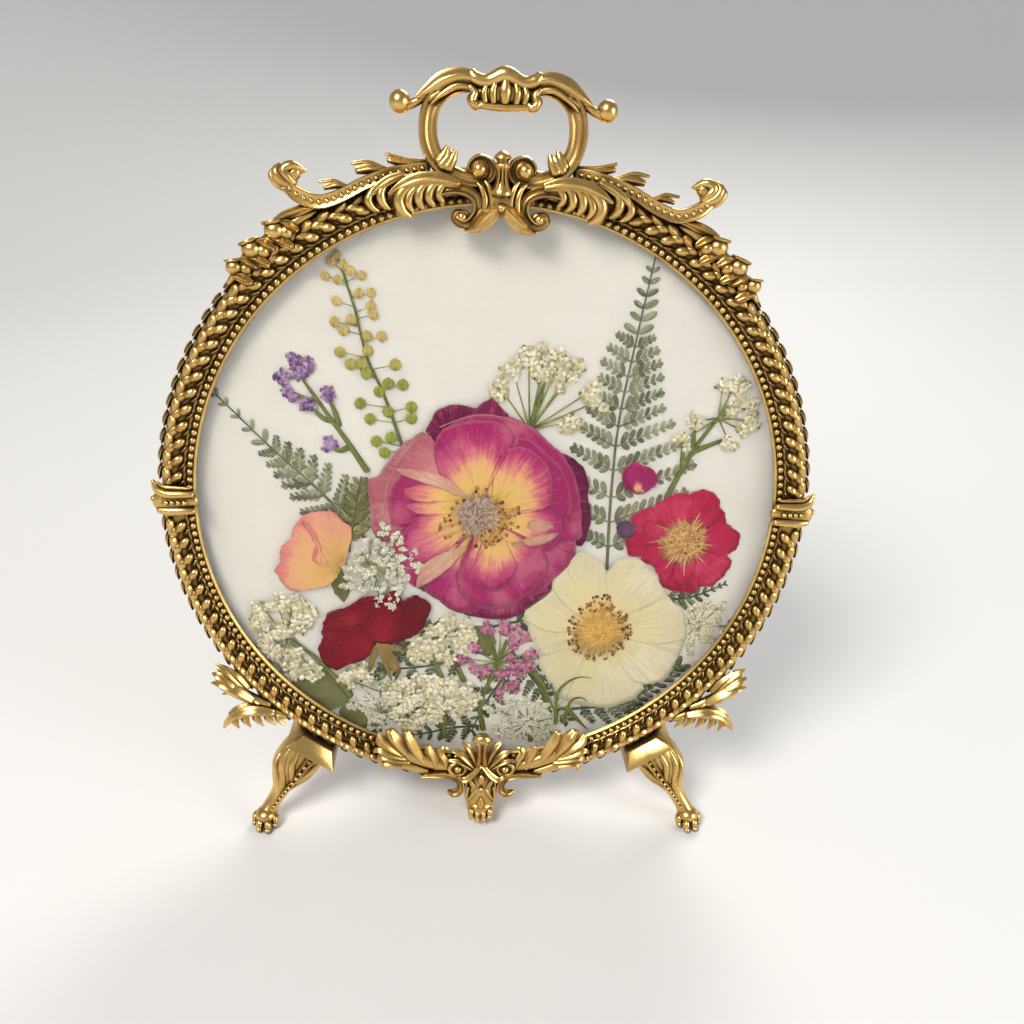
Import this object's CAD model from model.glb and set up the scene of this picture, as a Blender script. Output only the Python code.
# %% [markdown]
# # A pressed flower frame, dressed
#
# The real object is a round table frame of cast brass with roses, ferns and small blossom pressed
# behind its glass. Its solids come from the CAD frame. This lesson gives every part its finish,
# and models the casting's relief and the plants, which are too fine for the solids.

import math
import random

import bmesh
import bpy
from mathutils import Matrix, Vector, noise


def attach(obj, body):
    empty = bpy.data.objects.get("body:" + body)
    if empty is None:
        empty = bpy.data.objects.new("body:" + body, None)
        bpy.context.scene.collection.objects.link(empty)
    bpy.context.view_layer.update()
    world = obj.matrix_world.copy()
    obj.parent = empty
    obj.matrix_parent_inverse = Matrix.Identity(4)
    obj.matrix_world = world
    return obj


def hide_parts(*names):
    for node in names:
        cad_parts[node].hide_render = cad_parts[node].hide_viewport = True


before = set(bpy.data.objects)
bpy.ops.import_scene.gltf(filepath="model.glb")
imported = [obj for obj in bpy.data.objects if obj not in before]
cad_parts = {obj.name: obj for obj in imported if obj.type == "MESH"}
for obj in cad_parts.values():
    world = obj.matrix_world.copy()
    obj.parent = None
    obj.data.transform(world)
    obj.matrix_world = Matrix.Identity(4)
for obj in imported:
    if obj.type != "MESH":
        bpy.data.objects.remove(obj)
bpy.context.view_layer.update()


# %% [markdown]
# ## One set of coordinates
#
# The frame leans back by seven degrees. It could be modelled in the room's coordinates, but every
# circle would be tilted. So each piece is drawn in millimetres on the face of the frame, with x to
# the right, z up the face from the ring's centre and y from the ring's lip to the back, and one
# matrix then puts it in its place in the room.

# %% From the face of the frame to the room
LEAN = math.radians(7)
RING_CENTRE = (0, -0.00995, 0.0944766)
OPENING_RADIUS = 75
MILLIMETRE = 0.001
TO_ROOM = (
    Matrix.Translation(RING_CENTRE) @ Matrix.Rotation(-LEAN, 4, "X") @ Matrix.Scale(MILLIMETRE, 4)
)


def turned(axis, degrees):
    return Matrix.Rotation(math.radians(degrees), 4, axis)


lip = TO_ROOM @ Vector((0, 0, OPENING_RADIUS))
print("top of the clear opening, in the room:", [round(value, 4) for value in lip])

# %% [markdown]
# ## Camera, floor and light
#
# The photograph was taken from close by, a little to the left and above the frame's middle, with a
# wide lens. The camera repeats that. The floor is plain and pale. Large soft lamps give the metal
# long highlights, and they also reach the card well through the glass.

# %% The camera at the photograph's angle
LENS = 32.695
EYE = Vector((-9.863, -227.651, 82.515))
AHEAD = Vector((0.06445783, 0.93718776, -0.34281817))
RIGHT = Vector((0.99771922, -0.05362455, 0.04099707))
ABOVE = Vector((-0.02003848, 0.34467886, 0.93850676))

camera_data = bpy.data.cameras.new("photo_camera")
camera_data.lens = LENS
camera = bpy.data.objects.new("photo_camera", camera_data)
bpy.context.scene.collection.objects.link(camera)
looking = Matrix((RIGHT, ABOVE, -AHEAD)).transposed().to_4x4()
camera.matrix_world = (
    Matrix.Translation(TO_ROOM @ EYE) @ Matrix.Rotation(-LEAN, 4, "X") @ looking
)
bpy.context.scene.camera = camera
print("camera height:", round(camera.location.z, 3))

# %% Soft lamps and a pale room
bpy.context.scene.view_settings.view_transform = "Standard"
world = bpy.data.worlds.new("pale_room")
bpy.context.scene.world = world
world.use_nodes = True
world.node_tree.nodes["Background"].inputs["Color"].default_value = (0.9, 0.92, 0.95, 1)
world.node_tree.nodes["Background"].inputs["Strength"].default_value = 0.34


def soft_lamp(name, location, target, size, watts, colour):
    data = bpy.data.lights.new(name, "AREA")
    data.shape = "DISK"
    data.size = size
    data.energy = watts
    data.color = colour
    lamp = bpy.data.objects.new(name, data)
    lamp.location = location
    lamp.rotation_euler = (Vector(target) - Vector(location)).to_track_quat("-Z", "Y").to_euler()
    bpy.context.scene.collection.objects.link(lamp)


CENTRE = (0, 0, 0.09)
WARM, COOL = (1, 0.97, 0.92), (0.93, 0.96, 1)
soft_lamp("key_lamp", (-0.45, -0.6, 0.85), CENTRE, 0.45, 12.5, WARM)
soft_lamp("fill_lamp", (0.8, -0.45, 0.35), CENTRE, 0.5, 4.2, COOL)
soft_lamp("rim_lamp", (0.25, 0.7, 0.7), CENTRE, 0.5, 6, (1, 0.97, 0.93))
print("lamps:", [lamp.name for lamp in bpy.data.lights])

# %% [markdown]
# ## Finishes from expressions
#
# Shader maths is easier to read as Python than as a net of nodes. This small class wraps a socket,
# so that `1 - mask` or `grain * 0.2` adds the Math node that does it.

# %% Shader expressions
class Wire:
    """One socket of a material, with arithmetic that adds Math nodes."""

    def __init__(self, tree, socket):
        self.tree = tree
        self.socket = socket

    def node(self, kind, settings=(), stops=(), output=0, **values):
        """Any node: its settings and ramp stops first, then the values or links of its sockets."""
        made = self.tree.nodes.new(kind)
        for setting, value in dict(settings).items():
            setattr(made, setting, value)
        ramp = made.color_ramp if stops else None
        for index, (at, colour) in enumerate(stops):
            stop = ramp.elements[index] if index < 2 else ramp.elements.new(at)
            stop.position = at
            stop.color = (*colour, 1)
        for key, value in values.items():
            at = int(key[1:]) if key[0] == "_" else key.replace("_", " ")
            if isinstance(value, Wire):
                self.tree.links.new(value.socket, made.inputs[at])
            else:
                made.inputs[at].default_value = value
        return Wire(self.tree, made.outputs[output])

    def maths(self, operation, *values):
        sockets = {f"_{index}": value for index, value in enumerate(values)}
        return self.node("ShaderNodeMath", {"operation": operation}, **sockets)

    def __add__(self, other):
        return self.maths("ADD", self, other)

    def __mul__(self, other):
        return self.maths("MULTIPLY", self, other)

    def __sub__(self, other):
        return self.maths("SUBTRACT", self, other)

    def __rsub__(self, other):
        return self.maths("SUBTRACT", other, self)

    def __truediv__(self, other):
        return self.maths("DIVIDE", self, other)

    __radd__ = __add__
    __rmul__ = __mul__

    def blend(self, low, high):
        """A colour between two others, where this number goes from 0 to 1."""
        return self.node(
            "ShaderNodeMix", {"data_type": "RGBA"}, output=2, _0=self, _6=low, _7=high
        )

    def ramp(self, *stops):
        return self.node("ShaderNodeValToRGB", stops=stops, _0=self)

    def between(self, low, high):
        """0 below the first number, 1 above the second, and smooth between them."""
        return self.node(
            "ShaderNodeMapRange", {"interpolation_type": "SMOOTHSTEP"}, _0=self, _1=low, _2=high
        )


def new_finish(name, **constants):
    """A material, its shader with the constant values set, and a wire to start expressions from."""
    material = bpy.data.materials.new(name)
    material.use_nodes = True
    shader = material.node_tree.nodes["Principled BSDF"]
    for socket, value in constants.items():
        shader.inputs[socket.replace("_", " ")].default_value = value
    place = Wire(material.node_tree, None).node("ShaderNodeTexCoord", output=3)
    return material, shader, place


def feed(shader, **wires):
    for socket, wire in wires.items():
        shader.id_data.links.new(wire.socket, shader.inputs[socket.replace("_", " ")])


def grain(place, scale, detail=3.0, roughness=0.55, stretch=(1, 1, 1)):
    """Noise from 0 to 1 on object coordinates, in grains per metre."""
    scaled = place.node("ShaderNodeMapping", Vector=place, Scale=stretch)
    return scaled.node(
        "ShaderNodeTexNoise", Vector=scaled, Scale=scale, Detail=detail, Roughness=roughness
    )


def relief(height, millimetres, strength=1.0):
    return height.node(
        "ShaderNodeBump", Height=height, Distance=millimetres * MILLIMETRE, Strength=strength
    )


# %% [markdown]
# ## Antique gilt
#
# The casting is brass with a brown patina that was wiped off the high places. Painting that by hand
# would take a mask for each ornament. Ambient occlusion finds the recesses by itself, so the
# patina lies where a cloth doesn't reach, and noise breaks up its edge.

# %% The gilt of the casting
def antique_gilt():
    material, shader, place = new_finish("antique_gilt_finish", Metallic=1.0)
    cloud = grain(place, 160)
    speck = grain(place, 1500, 2.0)
    open_sky = place.node("ShaderNodeAmbientOcclusion", {"samples": 6}, output=1, Distance=0.0024)
    wiped = (open_sky + (cloud - 0.5) * 0.35 + (speck - 0.5) * 0.2).between(0.42, 1.0)
    bright = cloud.blend((0.57, 0.345, 0.105, 1), (0.79, 0.54, 0.195, 1))
    colour = wiped.blend((0.075, 0.042, 0.015, 1), bright)
    feed(
        shader,
        Base_Color=colour,
        Roughness=0.62 - wiped * 0.36 + (speck - 0.5) * 0.1,
        Normal=relief(speck + cloud * 2, 0.03, 0.5),
    )
    return material


GILT = antique_gilt()
print("finish:", GILT.name)

# %% [markdown]
# ## Helpers for cast ornament
#
# Scrolls, leaves and loops are all the same kind of shape: a section that travels along a curve and
# swells or shrinks on its way. The helper lays the section down as a loop of edges, then
# extrudes it from station to station, and closes both ends in a point.

# %% Curves and swept sections
def smooth(points, steps):
    """Points of a Catmull-Rom curve through the given points, of any number of coordinates."""
    rows = [points[0], *points, points[-1]]
    found = []
    for a, b, c, d in zip(rows, rows[1:], rows[2:], rows[3:]):
        for step in range(steps):
            t = step / steps
            found.append([
                q + 0.5 * t * (r - p + t * (2 * p - 5 * q + 4 * r - s + t * (3 * (q - r) + s - p)))
                for p, q, r, s in zip(a, b, c, d)
            ])
    found.append(list(points[-1]))
    return found


def station(path, index):
    """The matrix of a section: x across the path, y along it, z out of the face."""
    x, y, z, width, height = path[index]
    ahead = Vector(path[min(index + 1, len(path) - 1)][:3])
    along = (ahead - Vector(path[max(index - 1, 0)][:3])).normalized()
    across = Vector((0, 1, 0)).cross(along).normalized()
    out = across.cross(along)
    turn = Matrix((across * width, along, out * height)).transposed().to_4x4()
    return Matrix.Translation((x, y, z)) @ turn


ROUND_END = [math.radians(angle) for angle in (30, 60, 80)]


def sweep(bm, points, section, depth=0.0, steps=4, blunt=0.7):
    """Sweeps a section along points of (x, z, half width) and maybe a height and a depth."""
    full = []
    for x, z, width, *rest in points:
        height = rest[0] if rest else width
        full.append((x, rest[1] if len(rest) > 1 else depth, z, width, height))
    path = smooth(full, steps)
    frames = [station(path, index) for index in range(len(path))]
    for sign, at in ((-1, 0), (1, -1)):
        reach = path[at][3] * blunt
        ends = [
            frames[at] @ Matrix.Translation((0, sign * reach * math.sin(turn), 0))
            @ Matrix.Diagonal((math.cos(turn), 1, math.cos(turn), 1))
            for turn in ROUND_END
        ]
        frames = ends[::-1] + frames if at == 0 else frames + ends
    rim = [bm.verts.new(frames[0] @ Vector((across, 0, out))) for across, out in section]
    edges = [bm.edges.new(pair) for pair in zip(rim, rim[1:] + rim[:1])]
    first_rim = rim
    for here, there in zip(frames, frames[1:]):
        grown = bmesh.ops.extrude_edge_only(bm, edges=edges)["geom"]
        rim = {item for item in grown if isinstance(item, bmesh.types.BMVert)}
        edges = [
            item for item in grown
            if isinstance(item, bmesh.types.BMEdge) and set(item.verts) <= rim
        ]
        bmesh.ops.transform(bm, matrix=there @ here.inverted(), verts=list(rim))
    for end_rim, end in ((first_rim, frames[0]), (rim, frames[-1])):
        bmesh.ops.pointmerge(bm, verts=list(end_rim), merge_co=end.translation)


def strokes(bm, section, depth, lines, thick=1.3):
    """Several sweeps of one section along lines of (x, z, half width[, y])."""
    for line in lines:
        points = [(x, z, width, width * thick, *lift) for x, z, width, *lift in line]
        sweep(bm, points, section, depth)


def circle_section(corners=10):
    turns = [math.tau * corner / corners for corner in range(corners)]
    return [(math.cos(turn), math.sin(turn)) for turn in turns]


def ribbed_section(ribs, valley):
    """A crowned front with round ribs along it, over a plain back."""
    front = []
    steps = max(8, ribs * 4)
    back = -0.5
    for index in range(steps + 1):
        across = -1 + 2 * index / steps
        wave = 0.5 - 0.5 * math.cos(math.pi * ribs * (across + 1))
        front.append((across, (1 - 0.35 * across ** 2) * (valley + (1 - valley) * wave)))
    return front + [(0.85, back), (-0.85, back)]


BAR = circle_section()
THIN_BAR = circle_section(7)
LOBE = ribbed_section(1, 0.2)
SPLIT_LEAF = ribbed_section(2, 0.35)
print("sections:", len(BAR), len(THIN_BAR), len(LOBE), len(SPLIT_LEAF), "points")

# %% [markdown]
# Beads and knobs are spheres with few faces, because there are hundreds of them. Turned pieces are
# spun about their axis. The two sides of the casting are mirror images, so one half is modelled.

# %% Balls, turned shapes and the finished object
def ball(bm, x, z, radius, depth, squash=(1, 1, 1), around=14, rows=9):
    place = Matrix.Translation((x, depth, z)) @ Matrix.Diagonal((*squash, 1))
    bmesh.ops.create_uvsphere(bm, u_segments=around, v_segments=rows, radius=radius, matrix=place)


def beads(bm, points, radius, depth):
    for x, z in points:
        ball(bm, x, z, radius, depth, around=8, rows=5)


def lathe(bm, outline, axis, centre, steps):
    """Spins an outline of points a full turn about an axis, and closes its poles."""
    verts = [bm.verts.new(point) for point in outline]
    edges = [bm.edges.new(pair) for pair in zip(verts, verts[1:])]
    bmesh.ops.spin(
        bm, geom=verts + edges, axis=axis, cent=centre, angle=math.tau, steps=steps, use_merge=True
    )
    bmesh.ops.remove_doubles(bm, verts=bm.verts, dist=0.0005)


def mirrored(bm):
    """A copy of a shape on the other side of the frame's middle."""
    twin = bm.copy()
    bmesh.ops.scale(twin, vec=(-1, 1, 1), verts=twin.verts)
    return twin


def join(bm, part):
    """Adds one shape to another."""
    mesh = bpy.data.meshes.new("part")
    part.to_mesh(mesh)
    part.free()
    bm.from_mesh(mesh)
    bpy.data.meshes.remove(mesh)


def mirror_over(bm):
    """Adds the other half of a symmetrical shape."""
    join(bm, mirrored(bm))


def finished(name, bm, material, replaces=(), sharp=50):
    """The object of a shape: in its place in the room, on the frame's body, with its finish."""
    bmesh.ops.recalc_face_normals(bm, faces=bm.faces)
    bmesh.ops.transform(bm, matrix=TO_ROOM, verts=bm.verts)
    mesh = bpy.data.meshes.new(name)
    bm.to_mesh(mesh)
    bm.free()
    mesh.materials.append(material)
    mesh.shade_smooth()
    mesh.set_sharp_from_angle(angle=math.radians(sharp))
    made = bpy.data.objects.new(name, mesh)
    bpy.context.scene.collection.objects.link(made)
    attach(made, "frame")
    if replaces:
        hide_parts(*replaces)
    print(f"{name}: {len(mesh.polygons)} faces")
    return made


def gilt_pair(name, bm):
    """The right and left castings of one pair."""
    finished(f"{name}_left_relief", mirrored(bm), GILT, [f"{name}_left"])
    finished(f"{name}_right_relief", bm, GILT, [f"{name}_right"])


print("helpers ready for the casting")


# %% [markdown]
# ## The ring
#
# The ring is a turned section with a row of small beads round the glass and a garland of husks
# outside it. The turned part is one spin. The beads and husks are the same small shapes over and
# over, so each has few faces, and they share one mesh.

# %% The turned ring
RING_SECTION = (
    # radius, depth behind the lip
    (75.0, 0.75), (75.06, 0.6), (75.62, 0.2), (75.8, 0.45), (77.3, 0.5), (77.45, 0.0), (77.7, -0.2),
    (78.0, -0.2), (78.3, 0.2), (80.6, -0.5), (82.6, -0.3), (83.3, 0.3), (83.6, 1.2), (83.5, 4.5),
    (83.0, 5.0), (83.0, 8.6), (82.6, 9.5), (78.6, 9.5), (78.6, 0.75), (75.0, 0.75),
)


def turned_ring():
    bm = bmesh.new()
    outline = [(radius, depth, 0) for radius, depth in RING_SECTION]
    lathe(bm, outline, (0, 1, 0), (0, 0, 0), 256)
    finished("ring_turned", bm, GILT, ["frame_ring"], sharp=30)


turned_ring()

# %% The bead row
BEAD_COUNT = 230
BEAD_CIRCLE = 76.5
BEAD_RADIUS = 0.84


def bead_row():
    bm = bmesh.new()
    turns = [math.tau * index / BEAD_COUNT for index in range(BEAD_COUNT)]
    points = [(BEAD_CIRCLE * math.cos(turn), BEAD_CIRCLE * math.sin(turn)) for turn in turns]
    beads(bm, points, BEAD_RADIUS, -0.1)
    finished("ring_beads", bm, GILT)


bead_row()

# %% [markdown]
# Each husk of the garland is a heart: a foot and two petals that part towards the crest, with
# narrower strips beside them. Its foot lies on the mouth of the next, and further out low on the
# ring.

# %% The garland of husks
HUSK_CIRCLE = 80.9
HUSK_COUNT = 112
HUSK_PITCH = 360 / HUSK_COUNT
CLASP_ANGLE = 0.6
CLASP_REACH = 3.3
HUSK_LOBES = (
    # across, along, out of the face, half width, half length, half depth, turn, slope
    (-1.05, 0.3, -0.45, 1.3, 2.5, 1.6, -22, -0.3),
    (1.1, 0.3, -0.4, 1.3, 2.5, 1.7, 22, -0.3),
    (0.0, -1.1, -0.35, 1.35, 2.3, 1.5, 0, 0.2),
    (-2.7, -0.6, 0.2, 0.6, 1.6, 1.2, -16, -0.2),
    (2.9, -0.1, 0.8, 0.6, 2.0, 1.5, 10, 0),
    (3.7, 0.0, 2.1, 0.55, 1.9, 1.3, 8, 0),
)


def husk(bm, angle, side):
    """One husk at an angle above the middle, on the right (side 1) or left of the ring."""
    lobes = []
    for across, along, depth, width, length, thick, turn, slope in HUSK_LOBES:
        made = bmesh.ops.create_uvsphere(bm, u_segments=8, v_segments=6, radius=1)["verts"]
        for vert in made:
            low = max(0.0, -vert.co.z)
            vert.co.x *= 1 - 0.55 * low ** 1.5
            vert.co.y += slope * vert.co.z
        place = Matrix.Translation((across, depth, along)) @ turned("Y", turn)
        place = place @ Matrix.Diagonal((width, thick, length, 1))
        bmesh.ops.transform(bm, matrix=place, verts=made)
        lobes += made
    tilt = turned("Y", 14 * math.sin(math.radians(angle)) - 20)
    seat = turned("Y", -angle if side > 0 else angle - 180)
    seat = seat @ Matrix.Translation((HUSK_CIRCLE, 0, 0))
    if side < 0:
        seat = seat @ Matrix.Diagonal((1, 1, -1, 1))
    bmesh.ops.transform(bm, matrix=seat @ tilt, verts=lobes)


def husk_shows(angle):
    """The garland stops at the crest, at the pendant and under the side clasps."""
    return -80 < angle < 74 and abs(angle - CLASP_ANGLE) > CLASP_REACH


def husk_garland():
    bm = bmesh.new()
    count = 0
    for index in range(-HUSK_COUNT // 4, HUSK_COUNT // 4):
        angle = (index + 0.5) * HUSK_PITCH
        if husk_shows(angle):
            husk(bm, angle, 1)
            husk(bm, angle, -1)
            count += 2
    print(count, "husks")
    finished("ring_husks", bm, GILT)


husk_garland()

# %% [markdown]
# ## The carrying loop
#
# The loop is an oval tube, rounded outside and hollowed towards the hand. Its two ends roll into
# volutes over the crest. Leaves cover its shoulders, and a fluted shell hangs from its top.

# %% The loop
LOOP_DEPTH = -2.2
LOOP_SECTION = [
    (1.0, 0.0), (0.97, 0.5), (0.78, 0.92), (0.5, 0.9), (0.28, 0.5), (-0.1, 0.28), (-0.5, 0.32),
    (-0.8, 0.6), (-1.0, 0.35), (-1.0, -0.3), (-0.7, -0.85), (0, -1.0), (0.7, -0.85), (0.95, -0.45),
]


def carry_loop():
    bm = bmesh.new()
    sweep(bm, [
        (6.3, 81.7, 0.7), (7.1, 83.4, 1.0), (5.4, 85.0, 1.2), (3.0, 84.2, 1.3), (2.6, 81.9, 1.4),
        (4.6, 80.5, 1.5), (8.5, 80.7, 1.75), (13.2, 82.6, 1.95), (16.2, 86.6, 2.1),
        (17.0, 91.6, 2.1), (15.8, 96.4, 2.05), (12.2, 99.7, 1.95), (6.8, 100.5, 1.7),
        (3.6, 99.6, 1.2), (0, 99.8, 1.2),
    ], LOOP_SECTION, LOOP_DEPTH, steps=5)
    ball(bm, 5.0, 82.7, 2.6, LOOP_DEPTH + 0.2, (1, 0.6, 1))
    ball(bm, 5.2, 82.8, 1.75, LOOP_DEPTH - 1.3)
    sweep(bm, [(17.6, 97.6, 1.1), (20.2, 96.0, 1.0), (22.4, 95.4, 1.5)], BAR, LOOP_DEPTH)
    ball(bm, 23.2, 96.2, 2.35, LOOP_DEPTH, (1.02, 1, 1.08), around=20, rows=12)
    strokes(bm, BAR, LOOP_DEPTH - 0.5, [
        [(14.2, 84.0, 1.3), (13.1, 85.8, 1.15), (12.5, 87.4, 0.5)],
        [(12.4, 82.8, 1.4), (11.3, 84.9, 1.15), (10.6, 86.6, 0.45)],
        [(13.8, 83.2, 1.4), (12.3, 85.0, 1.3), (11.7, 86.0, 0.8)],
    ], 0.85)
    return bm


# %% Its leaves and shell
def loop_leaves(bm):
    depth = LOOP_DEPTH
    strokes(bm, LOBE, depth - 1.2, [
        [(5.0, 100.6, 1.2), (9.2, 101.9, 1.7), (13.6, 100.8, 1.9), (17.0, 98.6, 1.3),
            (19.6, 97.2, 0.25)],
        [(14.4, 98.4, 0.8), (16.4, 97.2, 0.9), (17.8, 96.2, 0.2)],
    ], 0.75)
    strokes(bm, BAR, depth - 1.3, [
        [(7.6, 99.6, 0.6), (10.8, 99.8, 0.8), (14.2, 97.8, 0.6), (16.4, 95.8, 0.2)],
    ])
    sweep(bm, [(6.4, 101.2, 1.6), (3.2, 100.6, 1.6), (0, 101.2, 1.9)], BAR, depth)
    strokes(bm, BAR, depth - 1.7, [
        [(2.3, 100.6, 0.7), (2.75, 98.8, 1.0), (2.5, 96.8, 0.8)],
        [(4.2, 100.2, 0.5), (4.7, 98.6, 0.85), (4.3, 96.8, 0.7)],
        [(7.9, 99.8, 0.6), (6.6, 98.6, 0.9), (7.2, 97.0, 1.1), (6.2, 96.0, 1.1), (5.2, 96.7, 0.7)],
    ])
    ball(bm, 7.1, 97.2, 1.4, depth - 1.4)
    line = [(6.0, 98.4, 1.6, 1.2), (3.4, 98.5, 2.2, 1.7), (0, 98.6, 2.6, 1.8)]
    sweep(bm, line, circle_section(12), depth - 0.5)


def shell_middle():
    """The brow over the shell and its middle rib, which cross from one side to the other."""
    bm = bmesh.new()
    half = [
        (7.5, 102.6, 1.1), (6.8, 101.7, 1.45), (5.4, 101.1, 1.5), (3.8, 101.1, 1.5),
        (2.4, 101.7, 1.6), (1.1, 102.3, 1.8),
    ]
    brow = half + [(0, 102.5, 1.9)] + [(-x, z, width) for x, z, width in half[::-1]]
    strokes(bm, circle_section(12), LOOP_DEPTH - 1.3, [brow], 0.95)
    strokes(bm, BAR, LOOP_DEPTH - 1.7, [
        [(-5.4, 96.1, 0.75), (-2.6, 95.9, 0.85), (0, 95.8, 0.9), (2.6, 95.9, 0.85),
            (5.4, 96.1, 0.75)],
    ])
    line = [(0, 101.2, 0.9, 1.2), (0, 99.2, 1.6, 1.7), (0, 97.0, 1.1, 1.4)]
    sweep(bm, line, BAR, LOOP_DEPTH - 1.7)
    return bm


loop = carry_loop()
loop_leaves(loop)
mirror_over(loop)
join(loop, shell_middle())
finished("carry_loop", loop, GILT, ["carry_handle"])

# %% [markdown]
# ## The crest over the glass
#
# Two C-scrolls stand back to back under a fluted baluster, with feet that run out over the glass.
# Long leaves with curled fingers sweep away from them along the ring. Everything stands a few
# millimetres in front of the ring, so it throws a small shadow on the card.

# %% Scrolls and baluster
CREST_DEPTH = -3.1


def crest_scrolls():
    bm = bmesh.new()
    depth = CREST_DEPTH
    strokes(bm, LOOP_SECTION, depth, [[
        (8.6, 73.4, 0.5), (10.1, 73.4, 0.8), (10.5, 71.9, 1.0), (8.6, 70.8, 1.1), (6.6, 71.8, 1.2),
        (5.3, 74.0, 1.3), (5.7, 76.6, 1.3), (8.2, 78.2, 1.3), (11.4, 78.4, 1.2), (14.2, 77.6, 0.9),
    ]], 1.5)
    ball(bm, 8.9, 72.4, 1.15, depth - 0.9)
    ball(bm, 8.6, 72.2, 1.9, depth + 0.2, (1, 0.5, 1))
    strokes(bm, LOBE, depth - 0.6, [
        [(0.2, 75.2, 1.4), (2.9, 73.0, 2.1), (5.2, 70.9, 1.9), (6.8, 69.8, 1.0), (8.2, 69.4, 0.2)],
    ])
    strokes(bm, BAR, depth - 0.6, [
        [(3.9, 73.8, 0.8), (3.7, 76.4, 0.85), (4.4, 78.6, 0.7), (5.6, 79.9, 0.3)],
        [(2.2, 74.8, 0.7), (2.2, 76.8, 0.8), (2.9, 79.0, 0.7), (3.9, 80.4, 0.3)],
        [(0.8, 75.6, 0.5), (0.9, 77.0, 0.7), (1.2, 78.6, 0.5)],
    ])
    mirror_over(bm)
    ball(bm, 0, 74.7, 0.95, depth - 2.1)
    ball(bm, 0, 76.2, 3.4, depth + 0.5, (1.4, 0.6, 1.1))
    return bm


def baluster():
    bm = bmesh.new()
    outline = [
        (0, 87.0), (0.8, 86.9), (1.4, 86.4), (1.9, 85.9), (2.0, 85.4), (1.4, 85.0), (1.25, 84.6),
        (1.75, 84.2), (1.95, 83.7), (1.75, 83.2), (1.5, 82.4), (1.4, 81.2), (1.55, 80.2),
        (1.95, 79.2), (2.3, 78.7), (2.6, 78.1), (2.6, 77.6), (2.0, 77.2), (0, 77.0),
    ]
    depth = CREST_DEPTH - 0.6
    lathe(bm, [(radius, depth, z) for radius, z in outline], (0, 0, 1), (0, depth, 0), 20)
    for x in (-0.95, 0, 0.95):
        sweep(bm, [
            (x * 0.85, 84.0, 0.35, 0.5), (x * 0.8, 81.2, 0.35, 0.5), (x * 1.4, 78.6, 0.45, 0.5),
        ], THIN_BAR, depth - (1.35 if x else 1.6), steps=3)
    return bm


# %% Crest leaves, and the finished crest
def crest_leaves():
    bm = bmesh.new()
    depth = CREST_DEPTH
    strokes(bm, LOBE, depth - 1.0, [
        [(10.0, 79.6, 0.9), (14.0, 80.4, 1.5), (18.6, 80.1, 1.6), (22.4, 78.6, 1.3),
            (25.6, 76.8, 0.25)],
        [(22.6, 81.0, 0.6), (25.4, 79.8, 1.0), (28.2, 77.8, 0.8), (30.0, 76.0, 0.25)],
    ], 0.9)
    strokes(bm, BAR, depth, [
        [(19.6, 79.4, 1.1), (22.0, 78.0, 1.5), (23.3, 75.6, 1.6), (22.4, 73.2, 1.35),
            (20.6, 72.0, 0.6)],
        [(19.2, 78.6, 1.0), (20.8, 76.8, 1.2), (21.2, 74.8, 1.2), (20.2, 73.2, 0.6)],
        [(17.2, 79.4, 1.0), (18.6, 77.6, 1.3), (18.8, 75.6, 1.25), (17.8, 74.0, 0.6)],
        [(15.0, 79.6, 1.0), (16.3, 77.9, 1.25), (16.5, 76.1, 1.2), (15.4, 74.8, 0.6)],
        [(12.8, 79.7, 0.9), (14.0, 78.2, 1.1), (14.2, 76.8, 1.05), (13.2, 75.6, 0.5)],
        [(26.2, 79.2, 0.8), (27.4, 76.8, 1.25), (26.9, 74.8, 1.15), (25.4, 73.6, 0.5)],
        [(29.0, 77.8, 0.7), (30.2, 75.4, 1.05), (29.4, 73.8, 0.9), (28.0, 73.0, 0.4)],
    ])
    strokes(bm, BAR, depth + 2.2, [
        [(11, 78, 1.2), (16, 77.6, 1.8), (21, 76.8, 1.8), (29, 75.6, 1.2)],
    ])
    mirror_over(bm)
    return bm


crest = crest_scrolls()
join(crest, baluster())
join(crest, crest_leaves())
finished("crest_relief", crest, GILT, ["crest_scroll"])

# %% [markdown]
# ## The wings
#
# Each wing is a band with two raised rims and a row of beads between them. Its lower end rolls
# into a ribbed shell, and three fins with notched ends stand on its back.

# %% The wings
WING_DEPTH = -1.6
CHANNEL = [
    (-1.0, -0.9), (-1.0, 0.5), (-0.95, 0.88), (-0.8, 1.0), (-0.66, 0.95), (-0.5, 0.84), (0, 0.8),
    (0.5, 0.84), (0.66, 0.95), (0.8, 1.0), (0.95, 0.88), (1.0, 0.5), (1.0, -0.9),
]
WING_LINE = [
    (17.2, 82.6, 1.3, 1.3), (19.4, 82.3, 1.45, 1.4), (25.6, 81.0, 1.5, 1.5), (31.6, 78.6, 1.5, 1.5),
    (36.7, 75.9, 1.5, 1.5), (41.6, 74.4, 1.6, 1.5), (46.0, 75.6, 1.7, 1.6), (48.6, 77.6, 1.4, 1.5),
]


def along_line(points, count):
    """Evenly spaced points of (x, z) on a curve."""
    path = [Vector(point[:2]) for point in smooth(points, 12)]
    reach = [0.0]
    for here, there in zip(path, path[1:]):
        reach.append(reach[-1] + (there - here).length)
    found = []
    for index in range(count):
        target = reach[-1] * (index + 0.5) / count
        at = next(spot for spot, length in enumerate(reach) if length >= target)
        share = (target - reach[at - 1]) / (reach[at] - reach[at - 1])
        found.append(tuple(path[at - 1].lerp(path[at], share)))
    return found


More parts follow.
